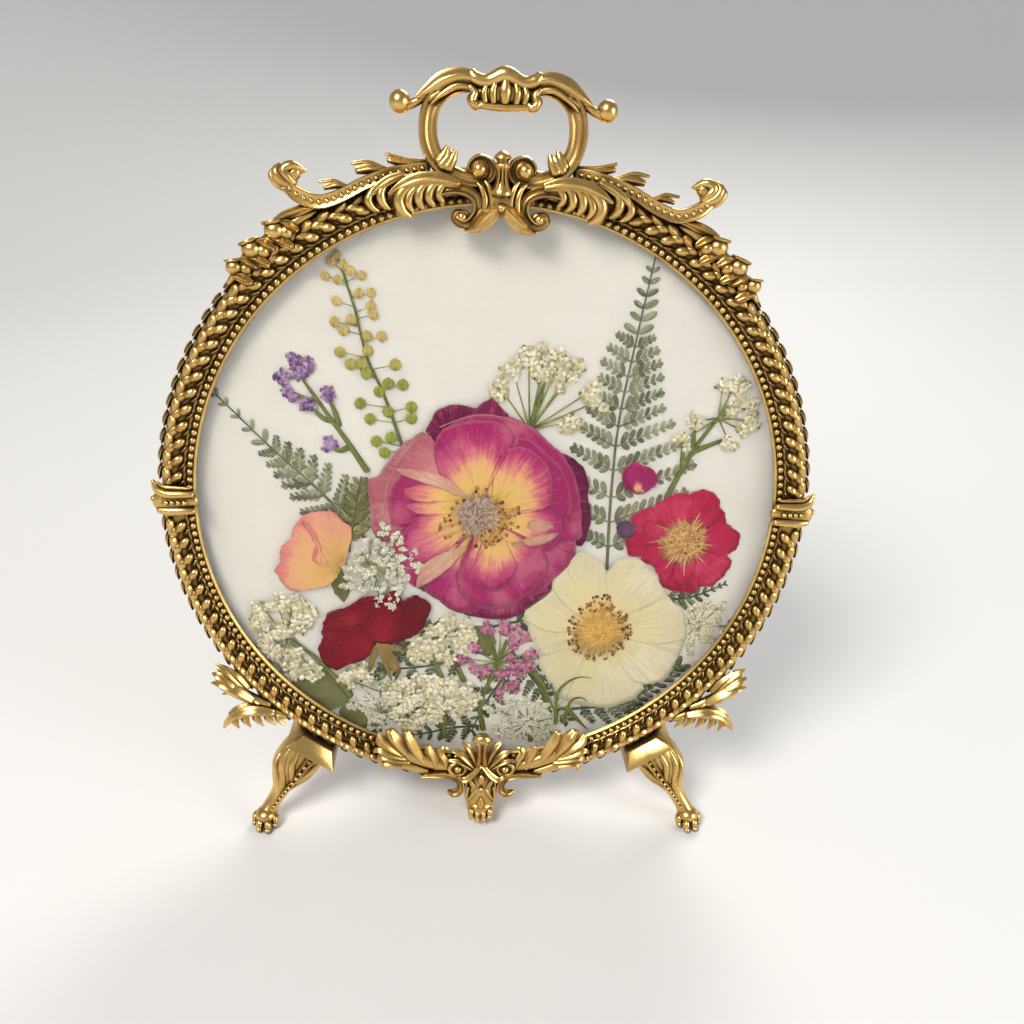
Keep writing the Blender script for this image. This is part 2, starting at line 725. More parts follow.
def wing():
    bm = bmesh.new()
    sweep(bm, WING_LINE, CHANNEL, WING_DEPTH, steps=5)
    beads(bm, along_line(WING_LINE, 19), 0.62, WING_DEPTH - 1.15)
    strokes(bm, BAR, -1.5, [
        [(47.8, 76.8, 1.0, -1.0), (50.6, 77.8, 1.1, -1.0), (52.1, 79.6, 0.9, -1.0),
            (51.8, 80.9, 0.5, -1.0)],
        [(47.4, 77.4, 1.0, -1.7), (49.8, 78.8, 1.3, -1.9), (50.9, 80.6, 1.2, -1.9),
            (50.0, 82.0, 0.6, -1.6)],
        [(47.0, 78.2, 0.9, -2.0), (48.4, 79.6, 1.2, -2.2), (49.2, 81.0, 1.2, -2.2),
            (47.2, 82.0, 1.1, -2.0), (44.2, 80.9, 0.25, -1.8)],
        [(46.8, 78.6, 0.7, -1.6), (47.4, 80.0, 1.1, -1.6), (46.4, 81.0, 0.9, -1.6),
            (44.8, 80.8, 0.4, -1.6)],
    ])
    ball(bm, 48.6, 79.8, 2.4, -1.0, (1, 0.7, 1))
    ball(bm, 46.8, 80.4, 1.5, -1.4)
    strokes(bm, LOBE, WING_DEPTH, [
        [(17.0, 83.2, 0.9), (21.6, 83.5, 1.15), (25.7, 84.0, 0.7)],
        [(17.6, 84.1, 0.4), (21.8, 84.2, 0.5), (26.2, 85.2, 0.4)],
        [(26.4, 81.6, 0.9), (29.8, 82.0, 1.3), (32.8, 81.4, 0.8)],
        [(26.6, 82.2, 0.4), (30.4, 83.3, 0.55), (33.9, 82.9, 0.4)],
        [(34.8, 77.6, 0.6), (37.6, 78.2, 0.9), (40.2, 77.4, 0.5)],
        [(35.2, 77.8, 0.4), (38.0, 79.0, 0.5), (41.4, 78.7, 0.35)],
    ], 0.9)
    return bm


gilt_pair("crest_wing", wing())

# %% [markdown]
# ## Bud sprays, clasps and acanthus
#
# Three buds nestle against each shoulder of the ring, with leaves between them. A cuff with a row
# of beads crosses the ring on each side, and two acanthus leaves spring from each lower shoulder.

# %% Bud sprays
BUDS = ((51.9, 67.8, 2.6, 78), (57.4, 63.4, 2.5, 68), (61.6, 59.2, 2.1, 82))
BUD_OUTLINE = (
    (0, -1.0), (0.55, -0.88), (0.92, -0.42), (1.0, 0.0), (0.9, 0.38), (0.78, 0.5), (1.0, 0.58),
    (1.08, 0.72), (1.0, 0.86), (0.8, 0.86), (0.66, 0.74), (0, 0.7),
)


def bud_spray():
    bm = bmesh.new()
    strokes(bm, BAR, -0.2, [
        [(42.6, 72.2, 0.6), (47.2, 69.8, 1.5), (53.0, 65.6, 1.8), (58.6, 60.8, 1.8),
            (63.2, 55.4, 0.8)],
    ])
    for x, z, radius, heading in BUDS:
        bud = bmesh.new()
        outline = [(r * radius, 0, z_at * radius) for r, z_at in BUD_OUTLINE]
        lathe(bud, outline, (0, 0, 1), (0, 0, 0), 16)
        seat = Matrix.Translation((x, -1.3, z)) @ turned("Y", 90 - heading) @ turned("X", -2)
        bmesh.ops.transform(bud, matrix=seat, verts=bud.verts)
        join(bm, bud)
        ball(bm, x - 2.6, z - 0.4, radius * 0.7, -1.5)
        strokes(bm, LOBE, -2.4, [
            [(x - 5.2, z + 0.2, 0.7), (x - 3.2, z + 1.4, 1.1), (x - 1.2, z + 1.9, 0.3)],
            [(x - 3.8, z - 3.4, 0.8), (x - 1.8, z - 2.4, 1.1), (x + 0.6, z - 2.0, 0.3)],
        ])
    strokes(bm, LOBE, -1.8, [
        [(42.4, 73.4, 0.4), (45.8, 72.5, 1.1), (49.2, 71.2, 1.1), (51.6, 70.0, 0.6)],
    ])
    return bm


gilt_pair("bud_spray", bud_spray())


# %% Side clasps
def side_clasp():
    bm = bmesh.new()
    strokes(bm, BAR, -2.2, [
        [(75.3, 3.0, 0.8), (78.0, 3.0, 1.15), (81.4, 3.0, 1.25), (83.8, 4.2, 1.0),
            (84.6, 6.4, 0.5)],
        [(76.0, 4.6, 0.35), (79.0, 4.7, 0.5), (82.0, 4.9, 0.5), (83.6, 6.0, 0.4)],
        [(75.3, -1.5, 0.8), (78.0, -1.4, 1.2), (81.4, -1.5, 1.25), (83.8, -1.3, 0.8)],
    ], 1.1)
    strokes(bm, BAR, -1.0, [[(75.2, 0.8, 1.6), (79.5, 0.8, 3.0), (83.4, 0.8, 3.0)]], 0.6)
    beads(bm, [(77.2 + 1.5 * index, 0.9) for index in range(4)], 0.72, -2.9)
    sweep(bm, [(83.0, 1.4, 2.2, 2.4), (84.4, 1.3, 1.5, 1.7)], BAR, -0.7)
    ball(bm, 85.2, 1.3, 0.85, -1.0)
    return bm


gilt_pair("side_clasp", side_clasp())


# %% Acanthus on the lower shoulders
def acanthus():
    bm = bmesh.new()
    strokes(bm, LOBE, -1.4, [
        [(62.2, -57.8, 1.0), (65.6, -55.4, 1.3), (69.0, -54.4, 1.0), (71.6, -55.2, 0.25)],
        [(63.8, -56.4, 1.3, -2.2), (67.6, -53.6, 2.0, -2.4), (71.2, -51.8, 1.6, -2.2),
            (74.3, -51.6, 0.3, -1.4)],
        [(65.6, -54.8, 1.1, -1.8), (69.2, -51.6, 1.7, -2.0), (72.2, -49.4, 1.4, -1.8),
            (74.0, -48.8, 0.3, -1.2)],
        [(65.4, -53.8, 1.0), (68.6, -50.0, 1.5), (71.2, -47.4, 1.25), (73.2, -45.9, 0.3)],
        [(64.8, -53.0, 0.8), (67.0, -50.0, 1.1), (68.8, -48.2, 0.8), (69.7, -46.8, 0.3)],
        [(58.4, -60.6, 1.2, -2.0), (63.2, -59.7, 1.7, -2.4), (67.6, -61.0, 1.5, -2.2),
            (70.6, -63.6, 1.0, -1.8), (72.0, -66.0, 0.25, -1.4)],
        [(60.6, -58.9, 0.6), (64.6, -58.6, 0.9), (68.2, -59.6, 0.7), (70.4, -61.4, 0.25)],
        [(68.4, -61.8, 1.2), (68.8, -63.8, 1.1), (67.9, -65.9, 0.3)],
        [(65.8, -61.0, 1.2), (66.0, -63.2, 1.2), (64.7, -65.5, 0.3)],
        [(62.8, -60.6, 1.2), (62.8, -62.8, 1.2), (61.2, -65.1, 0.3)],
        [(59.8, -60.8, 1.2), (59.6, -62.8, 1.1), (57.8, -64.8, 0.3)],
        [(57.0, -61.6, 1.0), (56.8, -63.2, 0.9), (55.2, -64.8, 0.3)],
    ], 1.0)
    strokes(bm, BAR, -0.8, [
        [(59.4, -58.8, 1.2), (63.6, -57.0, 1.7), (67.8, -53.8, 1.2)],
        [(55.0, -62.4, 1.0), (60.2, -60.6, 1.7), (66.0, -61.0, 1.3)],
    ], 0.8)
    return bm


gilt_pair("acanthus_spray", acanthus())

# %% [markdown]
# ## Plinths, legs and the bottom pendant
#
# The frame stands on two cabriole legs. Each hangs from a plain hipped block, its knee is fluted
# on both sides of a beaded rib, and it ends in a paw. A third, shorter paw under the pendant stays
# clear of the table.

# %% Plinths and legs
FOOT_ANGLE = -56.8
FLOOR_NORMAL = Vector((0, -math.sin(LEAN), math.cos(LEAN)))
FLOOR_POINT = FLOOR_NORMAL * (-RING_CENTRE[2] / MILLIMETRE)


def plinth():
    bm = bmesh.new()
    bmesh.ops.create_cube(bm, size=2)
    for vert in bm.verts:
        base = vert.co.x > 0
        half_length = 7.8 if base else 4.6
        front, back = (-5.5, 8.6) if base else (-2.6, 7.6)
        across = 88.0 if base else 83.95
        vert.co = (across, front if vert.co.y < 0 else back, half_length * vert.co.z)
    bmesh.ops.bevel(
        bm, geom=list(bm.edges), offset=0.35, affect="EDGES", segments=2, profile=0.5, material=-1
    )
    bmesh.ops.subdivide_edges(bm, edges=list(bm.edges), cuts=1, use_grid_fill=True)
    bmesh.ops.transform(bm, matrix=turned("Y", -FOOT_ANGLE), verts=bm.verts)
    return bm


gilt_pair("plinth", plinth())

LEG_LINE = [
    (48.9, -73.0, 6.4, 4.6, 1.4), (51.6, -76.4, 6.6, 4.8, 1.0), (54.2, -79.6, 5.9, 4.8, 0.4),
    (55.8, -82.8, 4.2, 4.0, -0.6), (57.2, -86.0, 2.5, 2.7, -1.9), (59.4, -89.6, 2.2, 2.3, -3.2),
    (61.0, -92.6, 2.7, 2.7, -4.4),
]


def leg():
    bm = bmesh.new()
    sweep(bm, LEG_LINE, circle_section(14), steps=4, blunt=0.3)
    rib = [
        (47.6, -74.2, 1.5, -2.9), (51.0, -78.8, 1.2, -4.0), (54.2, -83.2, 0.7, -4.5),
        (56.9, -86.8, 0.6, -4.5), (59.3, -90.2, 0.5, -5.1),
    ]
    strokes(bm, SPLIT_LEAF, 0, [rib], 1.1)
    for order, (x, z, y) in enumerate(smooth([(x, z, y) for x, z, _, y in rib], 3)):
        ball(bm, x, z, 0.75 - 0.028 * order, y - 0.75 + 0.02 * order, around=8, rows=6)
    strokes(bm, BAR, 0, [
        # outer side of the knee
        [(51.2, -72.9, 0.7, -2.7), (53.2, -76.4, 1.1, -3.4), (53.4, -79.8, 0.95, -4.1),
            (53.8, -82.0, 0.3, -4.2)],
        [(53.6, -71.9, 0.6, -1.5), (56.0, -76.2, 1.1, -2.8), (55.8, -80.4, 0.9, -3.8),
            (55.4, -83.6, 0.3, -4.1)],
        [(55.7, -72.8, 0.5, -0.1), (58.0, -77.0, 1.0, -1.9), (57.6, -81.2, 0.85, -3.2),
            (56.9, -84.8, 0.3, -3.7)],
        # inner side
        [(45.8, -77.0, 0.7, -1.3), (48.6, -79.3, 1.0, -2.6), (51.4, -81.4, 0.85, -3.4),
            (53.2, -82.9, 0.3, -3.8)],
        [(46.8, -79.3, 0.6, -0.7), (49.4, -81.5, 0.95, -1.9), (52.0, -83.2, 0.8, -2.6),
            (54.2, -84.6, 0.3, -3.5)],
        [(49.4, -82.3, 0.6, 0.1), (51.8, -83.7, 0.8, -1.2), (53.8, -85.0, 0.6, -2.2),
            (55.2, -86.0, 0.25, -3.0)],
    ], 1.1)
    ball(bm, 61.0, -92.4, 3.0, -4.6, (1.05, 1.1, 0.82))
    for x, z, depth in (
        (63.9, -93.3, -4.6), (62.4, -93.9, -6.9), (60.1, -94.0, -7.4), (58.3, -93.4, -5.6),
    ):
        ball(bm, x, z, 1.6, depth, (0.72, 1.05, 1.1))
        ball(bm, x + 0.1, z - 1.0, 1.15, depth - 0.9, (0.8, 1.1, 0.8))
    whole = list(bm.verts) + list(bm.edges) + list(bm.faces)
    cut_level(bm, whole, FLOOR_POINT)
    return bm


def cut_level(bm, geometry, point):
    """Cuts a shape off flat, parallel to the floor, and closes the cut."""
    bmesh.ops.bisect_plane(
        bm, geom=geometry, plane_co=point, plane_no=FLOOR_NORMAL, clear_inner=True
    )
    rim = [edge for edge in bm.edges if edge.is_boundary]
    bmesh.ops.holes_fill(bm, edges=rim, sides=0)


gilt_pair("paw_leg", leg())


# %% The bottom pendant
def pendant_half():
    bm = bmesh.new()
    depth = -3.4
    strokes(bm, LOBE, depth - 0.6, [
        [(1.2, -76.8, 0.8), (2.5, -73.2, 1.1), (3.9, -70.4, 1.1), (5.3, -68.6, 0.4)],
        [(1.6, -77.4, 0.8), (4.0, -74.6, 1.2), (6.2, -72.4, 1.1), (8.4, -71.4, 0.4)],
        [(2.2, -77.8, 0.6), (4.8, -76.0, 0.8), (7.0, -74.9, 0.8), (9.2, -74.6, 0.3)],
        [(0.2, -75.8, 0.8, -5.0), (2.2, -78.6, 1.1, -5.0), (4.6, -80.4, 1.1, -5.0),
            (6.4, -79.6, 0.5, -5.0)],
    ])
    strokes(bm, BAR, depth - 0.4, [[
        (7.4, -75.6, 0.5), (9.0, -76.9, 0.7), (8.2, -79.1, 0.8), (5.7, -79.4, 0.8),
        (4.5, -77.4, 0.7), (5.4, -75.9, 0.5),
    ]])
    ball(bm, 6.7, -77.3, 1.15, depth - 1.0)
    ball(bm, 6.7, -77.4, 2.2, depth + 0.1, (1, 0.5, 1))
    strokes(bm, LOOP_SECTION, depth + 0.2, [[
        (17.0, -80.4, 0.4), (13.6, -79.8, 1.0), (10.2, -79.7, 1.2), (7.2, -80.6, 1.3),
        (5.7, -82.8, 1.3), (6.1, -85.2, 1.2), (7.9, -86.3, 0.9), (9.3, -85.6, 0.5),
    ]], 1.4)
    strokes(bm, BAR, depth + 0.7, [
        [(6.6, -78.2, 1.2), (12.0, -76.8, 1.9), (18.2, -74.4, 2.2), (23.6, -72.2, 2.0),
            (27.6, -70.8, 1.2)],
        [(15.4, -79.2, 0.8), (20.0, -77.6, 1.4), (25.0, -75.4, 1.4), (29.0, -74.0, 0.8)],
    ], 0.8)
    strokes(bm, LOBE, depth - 0.2, [
        [(16.2, -75.8, 0.9), (18.8, -72.0, 1.6), (20.6, -68.4, 1.9), (21.4, -65.8, 1.2)],
        [(20.8, -73.6, 1.0), (23.2, -70.4, 1.9), (25.0, -67.4, 2.3), (26.0, -65.4, 1.5)],
        [(22.6, -73.0, 0.9, -4.0), (25.6, -70.8, 1.5, -4.2), (28.2, -68.6, 1.3, -4.0),
            (29.0, -66.4, 0.5, -3.4)],
        [(21.8, -74.2, 0.8, -4.0), (25.6, -72.8, 1.3, -4.3), (28.8, -71.4, 1.1, -4.0),
            (30.4, -72.2, 0.4, -3.4)],
        [(20.6, -75.6, 0.8, -3.6), (24.6, -74.6, 1.2, -4.0), (28.0, -74.0, 1.0, -3.8),
            (29.6, -75.4, 0.4, -3.2)],
        [(22.2, -77.0, 0.7), (25.4, -76.4, 1.0), (27.6, -76.6, 0.8), (27.6, -78.2, 0.3)],
        [(12.8, -77.4, 0.9), (13.6, -74.4, 1.25), (14.8, -72.0, 1.3), (15.2, -70.4, 0.8)],
        [(9.8, -77.6, 0.8), (10.6, -74.8, 1.1), (11.8, -72.6, 1.1), (10.8, -70.6, 0.6),
            (9.6, -71.2, 0.3)],
    ], 0.9)
    strokes(bm, BAR, depth - 1.2, [
        [(3.6, -79.8, 0.5), (2.4, -82.0, 0.9), (1.3, -83.2, 0.6)],
        [(1.0, -83.0, 0.5), (2.0, -85.0, 0.8), (3.6, -87.4, 0.5)],
        [(3.6, -83.2, 0.4), (4.0, -85.6, 0.6), (3.8, -88.0, 0.4)],
    ])
    return bm


def pendant():
    bm = pendant_half()
    depth = -3.6
    mirror_over(bm)
    line = [(0, -66.6, 1.9, 1.4), (0, -67.9, 2.9, 1.9), (0, -69.2, 1.7, 1.3)]
    sweep(bm, line, BAR, depth, blunt=0.2)
    line = [(0, -68.8, 2.1, 1.5), (0, -72.2, 1.6, 1.4), (0, -75.6, 2.0, 1.7), (0, -77.6, 0.8, 1.0)]
    sweep(bm, line, SPLIT_LEAF, depth - 0.6)
    ball(bm, 0, -80.0, 1.2, depth - 1.7, (0.9, 1, 1.5))
    ball(bm, 0, -83.1, 0.8, depth - 2.2)
    sweep(bm, [
        (0, -77.8, 3.0, 1.8), (0, -81.6, 3.6, 2.1), (0, -85.0, 4.2, 2.2), (0, -88.0, 4.2, 2.3),
        (0, -90.2, 3.6, 2.4),
    ], circle_section(14), depth + 0.3, blunt=0.3)
    ball(bm, 0, -90.6, 3.7, depth + 0.2, (1.1, 0.85, 0.8))
    sweep(bm, [(0, -86.2, 0.4, 0.6), (0, -88.4, 1.2, 1.2), (0, -90.0, 0.6, 0.8)], BAR, depth - 1.8)
    for x, z in ((-2.7, -91.0), (-0.95, -91.9), (0.95, -91.9), (2.7, -91.0)):
        ball(bm, x, z, 1.3, depth - 2.1, (0.75, 1, 1.2))
        ball(bm, x * 0.95, z - 1.2, 0.8, depth - 2.7)
    geometry = list(bm.verts) + list(bm.edges) + list(bm.faces)
    cut_level(bm, geometry, FLOOR_POINT + FLOOR_NORMAL * 0.35)
    return bm


finished("pendant_relief", pendant(), GILT, ["bottom_pendant"])

# %% [markdown]
# ## Glass, card, board and hinge
#
# These solids have the right shape in the CAD model, so they stay, and only get better finishes.
# The glass is plain clear glass. The card is a thick cotton paper with a faint tooth. The board and
# the strut are covered in black flock, and the small hardware is bright steel.

# %% Finishes of the CAD parts
def dress(node, material):
    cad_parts[node].data.materials[0] = material


def clear_glass():
    return new_finish(
        "clear_glass_finish",
        Transmission_Weight=1.0,
        IOR=1.18,
        Roughness=0.0,
        Base_Color=(1, 1, 1, 1),
    )[0]


def cotton_card():
    material, shader, place = new_finish("cotton_card_finish", Specular_IOR_Level=0.25)
    tooth = grain(place, 2600, 4)
    fibre = grain(place, 500, 3, stretch=(1, 1, 3))
    cloud = grain(place, 18, 2)
    shade = cloud * 0.5 + fibre * 0.3 + tooth * 0.2
    feed(
        shader,
        Base_Color=shade.between(0.2, 0.8).blend((0.73, 0.695, 0.62, 1), (0.80, 0.765, 0.695, 1)),
        Roughness=0.8 + tooth * 0.15,
        Normal=relief(tooth + fibre, 0.03, 0.6),
    )
    return material


def black_flock():
    material, shader, place = new_finish(
        "black_flock_finish", Sheen_Weight=0.5, Sheen_Roughness=0.4
    )
    pile = grain(place, 5200, 2)
    stroke = grain(place, 60, 3)
    shade = (pile * 0.6 + stroke * 0.4).between(0.3, 0.7)
    feed(
        shader,
        Base_Color=shade.blend((0.006, 0.006, 0.008, 1), (0.035, 0.034, 0.038, 1)),
        Roughness=0.85 + pile * 0.1,
        Normal=relief(pile, 0.12),
    )
    return material


def hinge_steel():
    material, shader, place = new_finish("hinge_steel_finish", Metallic=1.0)
    drawn = grain(place, 900, 3, stretch=(0.08, 1, 1))
    cloud = grain(place, 90, 3)
    feed(
        shader,
        Base_Color=cloud.blend((0.46, 0.45, 0.43, 1), (0.62, 0.61, 0.59, 1)),
        Roughness=0.24 + drawn * 0.2,
        Normal=relief(drawn, 0.01, 0.6),
    )
    return material


dress("glass_pane", clear_glass())
dress("flower_card", cotton_card())
FLOCK = black_flock()
for node in ("backboard", "easel_strut"):
    dress(node, FLOCK)
STEEL = hinge_steel()
clips = [f"retaining_clip_{number}" for number in range(1, 5)]
for node in ("hinge_bracket", "hinge_pin", "strut_leaf", *clips):
    dress(node, STEEL)
print("finishes on the CAD parts:", len(bpy.data.materials))


# %% [markdown]
# The frame stands on a plain pale floor that rises far behind it, so that no edge shows. It is
# only there for the picture, so it is declared as staging.

# %% A plain pale floor
def floor_finish():
    material, shader, place = new_finish("pale_floor_finish", Specular_IOR_Level=0.2)
    cloud = grain(place, 3, 2)
    away = place.node("ShaderNodeVectorMath", {"operation": "LENGTH"}, output=1, _0=place)
    far = away.between(0.35, 2.6)
    near_tone = cloud.blend((0.60, 0.595, 0.585, 1), (0.64, 0.635, 0.625, 1))
    feed(
        shader,
        Base_Color=far.blend(near_tone, (0.93, 0.925, 0.915, 1)),
        Roughness=0.8 + cloud * 0.1,
    )
    return material


FLAT_RADIUS = 0.7
SLOPE_WIDTH = 3.3
RIM_HEIGHT = 2.4


def pale_floor():
    """A floor that is flat under the frame and rises smoothly far behind it."""
    bm = bmesh.new()
    bmesh.ops.create_grid(bm, x_segments=60, y_segments=60, size=4)
    for vert in bm.verts:
        rise = min(1.0, max(0.0, (vert.co.xy.length - FLAT_RADIUS) / SLOPE_WIDTH))
        vert.co.z = RIM_HEIGHT * rise * rise * (3 - 2 * rise)
    mesh = bpy.data.meshes.new("pale_floor")
    bm.to_mesh(mesh)
    bm.free()
    mesh.materials.append(floor_finish())
    mesh.shade_smooth()
    floor = bpy.data.objects.new("pale_floor", mesh)
    bpy.context.scene.collection.objects.link(floor)
    print("floor faces:", len(mesh.polygons))


pale_floor()

# %% [markdown]
# ## Petals
#
# A pressed petal is a sheet with a wavy edge, and its colour and veins run out from its root. Each
# starts as a flat grid that is bent round: one side of the grid shrinks to the root, the other
# becomes the outline. Every point keeps how far out it lies and in which direction, so that the
# finish can follow the petal. The modifier at the end gives the sheets their thickness.

# %% A petal and a plant
# Blender's noise starts from the clock. A fixed seed gives the same petals in every run.
noise.seed_set(11)

# How far each of the four layers of plants lies behind the lip, from the glass to the card.
LAYER_DEPTHS = (2.62, 2.98, 3.3, 3.58)


def plant():
    bm = bmesh.new()
    for layer in ("grow", "tone", "spread"):
        bm.verts.layers.float_vector.new(layer)
    return bm


def mark(bm, verts, along, own):
    """Gives small shapes a place on a stalk from 0 to 1 and a shade of their own."""
    grow, tone = (bm.verts.layers.float_vector[name] for name in ("grow", "tone"))
    for vert in verts:
        vert[grow] = (along, 0, 0)
        vert[tone] = (own % 1, 0, 0)


def petal(bm, root, outline, depth, reach=1.0, dark=0.0, ruffle=0.8, rings=9):
    grow, tone, spread = (bm.verts.layers.float_vector[name] for name in ("grow", "tone", "spread"))
    root = Vector(root)
    rim = [Vector(point) for point in smooth([*outline, outline[0]], 4)]
    longest = max((point - root).length for point in rim)
    seed = (root.x * 3.1 + rim[0].x * 1.7 + rim[0].y * 2.3) % 10
    around = len(rim) - 1
    made = bmesh.ops.create_grid(bm, x_segments=rings, y_segments=around, size=0.5)["verts"]
    for vert in made:
        out = vert.co.x + 0.5
        edge = rim[round((vert.co.y + 0.5) * around)]
        spot = root.lerp(edge, out)
        wave = noise.noise_vector((spot.x * 0.2, spot.y * 0.2, seed))
        crinkle = noise.noise_vector((spot.x * 0.75, spot.y * 0.75, seed + 5))
        heading = (edge - root).normalized()
        vert[grow] = (0.55 * out + 0.45 * (spot - root).length / longest, out, seed)
        vert[tone] = (reach, dark, 0)
        vert[spread] = (heading.x, heading.y, 0)
        spot += (wave.xy * 0.5 + crinkle.xy * 0.5) * ruffle * out ** 3
        vert.co = (spot.x, depth + wave.z * 0.05 * out, spot.y)
    bmesh.ops.remove_doubles(bm, verts=made, dist=0.004)


def oval(root, tip, half_width, broad):
    """The outline of a plain petal, widest at a share of its length."""
    root, tip = Vector(root), Vector(tip)
    across = Vector((root.y - tip.y, tip.x - root.x)).normalized() * half_width
    sides = ((0.02, 0.2), (broad * 0.5, 0.8), (broad, 1.0), (0.5 + broad * 0.5, 0.8), (0.97, 0.3))
    right = [root.lerp(tip, share) + across * width for share, width in sides]
    left = [root.lerp(tip, share) - across * width for share, width in sides]
    return [point.to_tuple() for point in (*right, *left[::-1])]


def pressed(name, bm, material, replaces=(), sheet=0.04):
    """A finished plant, its sheets given their thickness in millimetres."""
    made = finished(name, bm, material, replaces, sharp=180)
    if sheet:
        solidify = made.modifiers.new("thickness", "SOLIDIFY")
        solidify.thickness = sheet * MILLIMETRE
        solidify.offset = 0


print("the plants lie from", LAYER_DEPTHS[0], "to", LAYER_DEPTHS[-1], "mm behind the lip")

# %% [markdown]
# The small parts of a plant come in hundreds, so they are as plain as they can be. A leaflet is
# one flat face, a fine stalk is a cone of a few sides, and a seed is a flattened ball.

# %% Leaflets, threads, seeds and stalks
def blade(bm, x, z, length, half_width, heading, depth, corners, taper, tilt=0.0):
    """A flat leaflet or floret petal with its foot at a point, turned to a heading in degrees."""
    grow, tone = (bm.verts.layers.float_vector[name] for name in ("grow", "tone"))
    made = bmesh.ops.create_circle(bm, cap_ends=True, segments=corners, radius=1)["verts"]
    own = (x * 1.7 + z * 2.9 + heading) % 1
    for vert in made:
        vert[grow] = (vert.co.x * 0.5 + 0.5, 0, 0)
        vert[tone] = (own, 0, 0)
        narrow = 1 - taper * vert.co.x
        vert.co = ((vert.co.x + 1) * length / 2, vert.co.y * half_width * narrow, 0)
    place = (
        Matrix.Translation((x, depth, z)) @ turned("Y", -heading) @ turned("X", 90 + tilt)
        @ turned("Y", -tilt * 0.6)
    )
    bmesh.ops.transform(bm, matrix=place, verts=made)


def thread(bm, start, end, depth, radius, end_radius=None, corners=4):
    """A fine straight stalk between two points of (x, z)."""
    low, high = Vector((start[0], depth, start[1])), Vector((end[0], depth, end[1]))
    turn = (high - low).to_track_quat("Z", "Y").to_matrix().to_4x4()
    place = Matrix.Translation((low + high) / 2) @ turn
    made = bmesh.ops.create_cone(
        bm, cap_ends=True, segments=corners, radius1=radius, radius2=end_radius or radius,
        depth=(high - low).length, matrix=place,
    )["verts"]
    mark(bm, made, 0.5, start[0] * 5.3 + end[1] * 3.7)


def seed_ball(bm, x, z, radius, depth, squash, around, rows=4):
    place = Matrix.Translation((x, depth, z)) @ Matrix.Diagonal((1, squash, 1, 1))
    made = bmesh.ops.create_uvsphere(
        bm, u_segments=around, v_segments=rows, radius=radius, matrix=place
    )["verts"]
    mark(bm, made, 0.5, x * 7.3 + z * 3.1)


def stalk(bm, points, depth, start, end):
    """A tapering stem through points of (x, z)."""
    last = len(points) - 1
    widths = [start + (end - start) * index / last for index in range(last + 1)]
    line = [(x, z, width, 0.12) for (x, z), width in zip(points, widths)]
    sweep(bm, line, circle_section(6), depth)


print("plant helpers ready")


# %% [markdown]
# ## The colour of a petal
#
# A ramp runs out from the root of the petal to its rim. Noise that is stretched along the petal
# moves the ramp a little from vein to vein, which gives the flamed border between two colours.
# Veins, blotches and a paler rim follow. Ambient occlusion over half a millimetre draws the fine
# dark line where one petal lies over the next.

# %% Petal finishes
def layer_values(place, layer, count):
    """The first numbers of a vertex layer of the plants."""
    kept = place.node("ShaderNodeAttribute", {"attribute_name": layer}, output=1)
    return [kept.node("ShaderNodeSeparateXYZ", output=index, _0=kept) for index in range(count)]


def petal_finish(name, stops, dark, rim, veins, flame=0.4, edging=0.4):
    material, shader, place = new_finish(name, Specular_IOR_Level=0.12)
    along, edge, seed = layer_values(place, "grow", 3)
    reach, dim = layer_values(place, "tone", 2)
    right, up = layer_values(place, "spread", 2)

    def streaks(across, length, detail=2.0):
        spot = along.node(
            "ShaderNodeCombineXYZ", _0=right * across, _1=up * across, _2=along * length + seed
        )
        return spot.node("ShaderNodeTexNoise", Vector=spot, Scale=1.0, Detail=detail)

    flames = streaks(12, 1.2)
    vein = streaks(26, 1.8, 3.0)
    hair = streaks(75, 3.0)
    cloud = grain(place, 160, 3)
    mottle = grain(place, 620, 4, 0.65)
    run = along / reach + (flames - 0.5) * flame + (cloud - 0.5) * 0.45 + (mottle - 0.5) * 0.18
    shade = ((vein - 0.5) * 1.3 + (hair - 0.5) * 0.6 + (mottle - 0.5) * 0.9) * veins
    gap = place.node(
        "ShaderNodeAmbientOcclusion", {"samples": 5, "only_local": True}, output=1, Distance=0.0006
    )
    body = run.ramp(*stops)
    body = (grain(place, 75, 3).between(0.5, 0.7) * 0.4).blend(body, rim)
    body = (dim - shade * 0.7).between(0.0, 1.0).blend(body, dark)
    body = (shade.between(0.12, 0.65) * 0.4).blend(body, rim)
    body = (edge.between(0.95, 0.99) * (1 - dim) * (flames + 0.3) * edging).blend(body, rim)
    body = (0.6 - gap.between(0.74, 0.97) * 0.6).blend(body, dark)
    feed(
        shader,
        Base_Color=body,
        Roughness=0.55 + mottle * 0.2,
        Normal=relief(vein * 1.4 + mottle * 0.8 + flames, 0.2, 0.8),
    )
    return material


TWO_TONE = petal_finish("two_tone_petal_finish", (
    (0.0, (0.60, 0.34, 0.07)), (0.36, (0.76, 0.50, 0.15)), (0.55, (0.74, 0.40, 0.17)),
    (0.68, (0.62, 0.17, 0.17)),
    (0.83, (0.42, 0.035, 0.135)), (1.0, (0.33, 0.012, 0.105)),
), (0.10, 0.002, 0.03, 1), (0.72, 0.24, 0.30, 1), 1.3)
DUSKY = petal_finish("dusky_petal_finish", (
    (0.0, (0.50, 0.15, 0.15)), (0.5, (0.50, 0.16, 0.18)), (1.0, (0.36, 0.09, 0.12)),
), (0.20, 0.03, 0.05, 1), (0.70, 0.40, 0.34, 1), 1.2)
PALE_FOLD = petal_finish("pale_petal_back_finish", (
    (0.0, (0.64, 0.38, 0.18)), (0.5, (0.58, 0.33, 0.22)), (1.0, (0.50, 0.22, 0.19)),
), (0.30, 0.10, 0.06, 1), (0.78, 0.52, 0.38, 1), 2.0, edging=0.8)
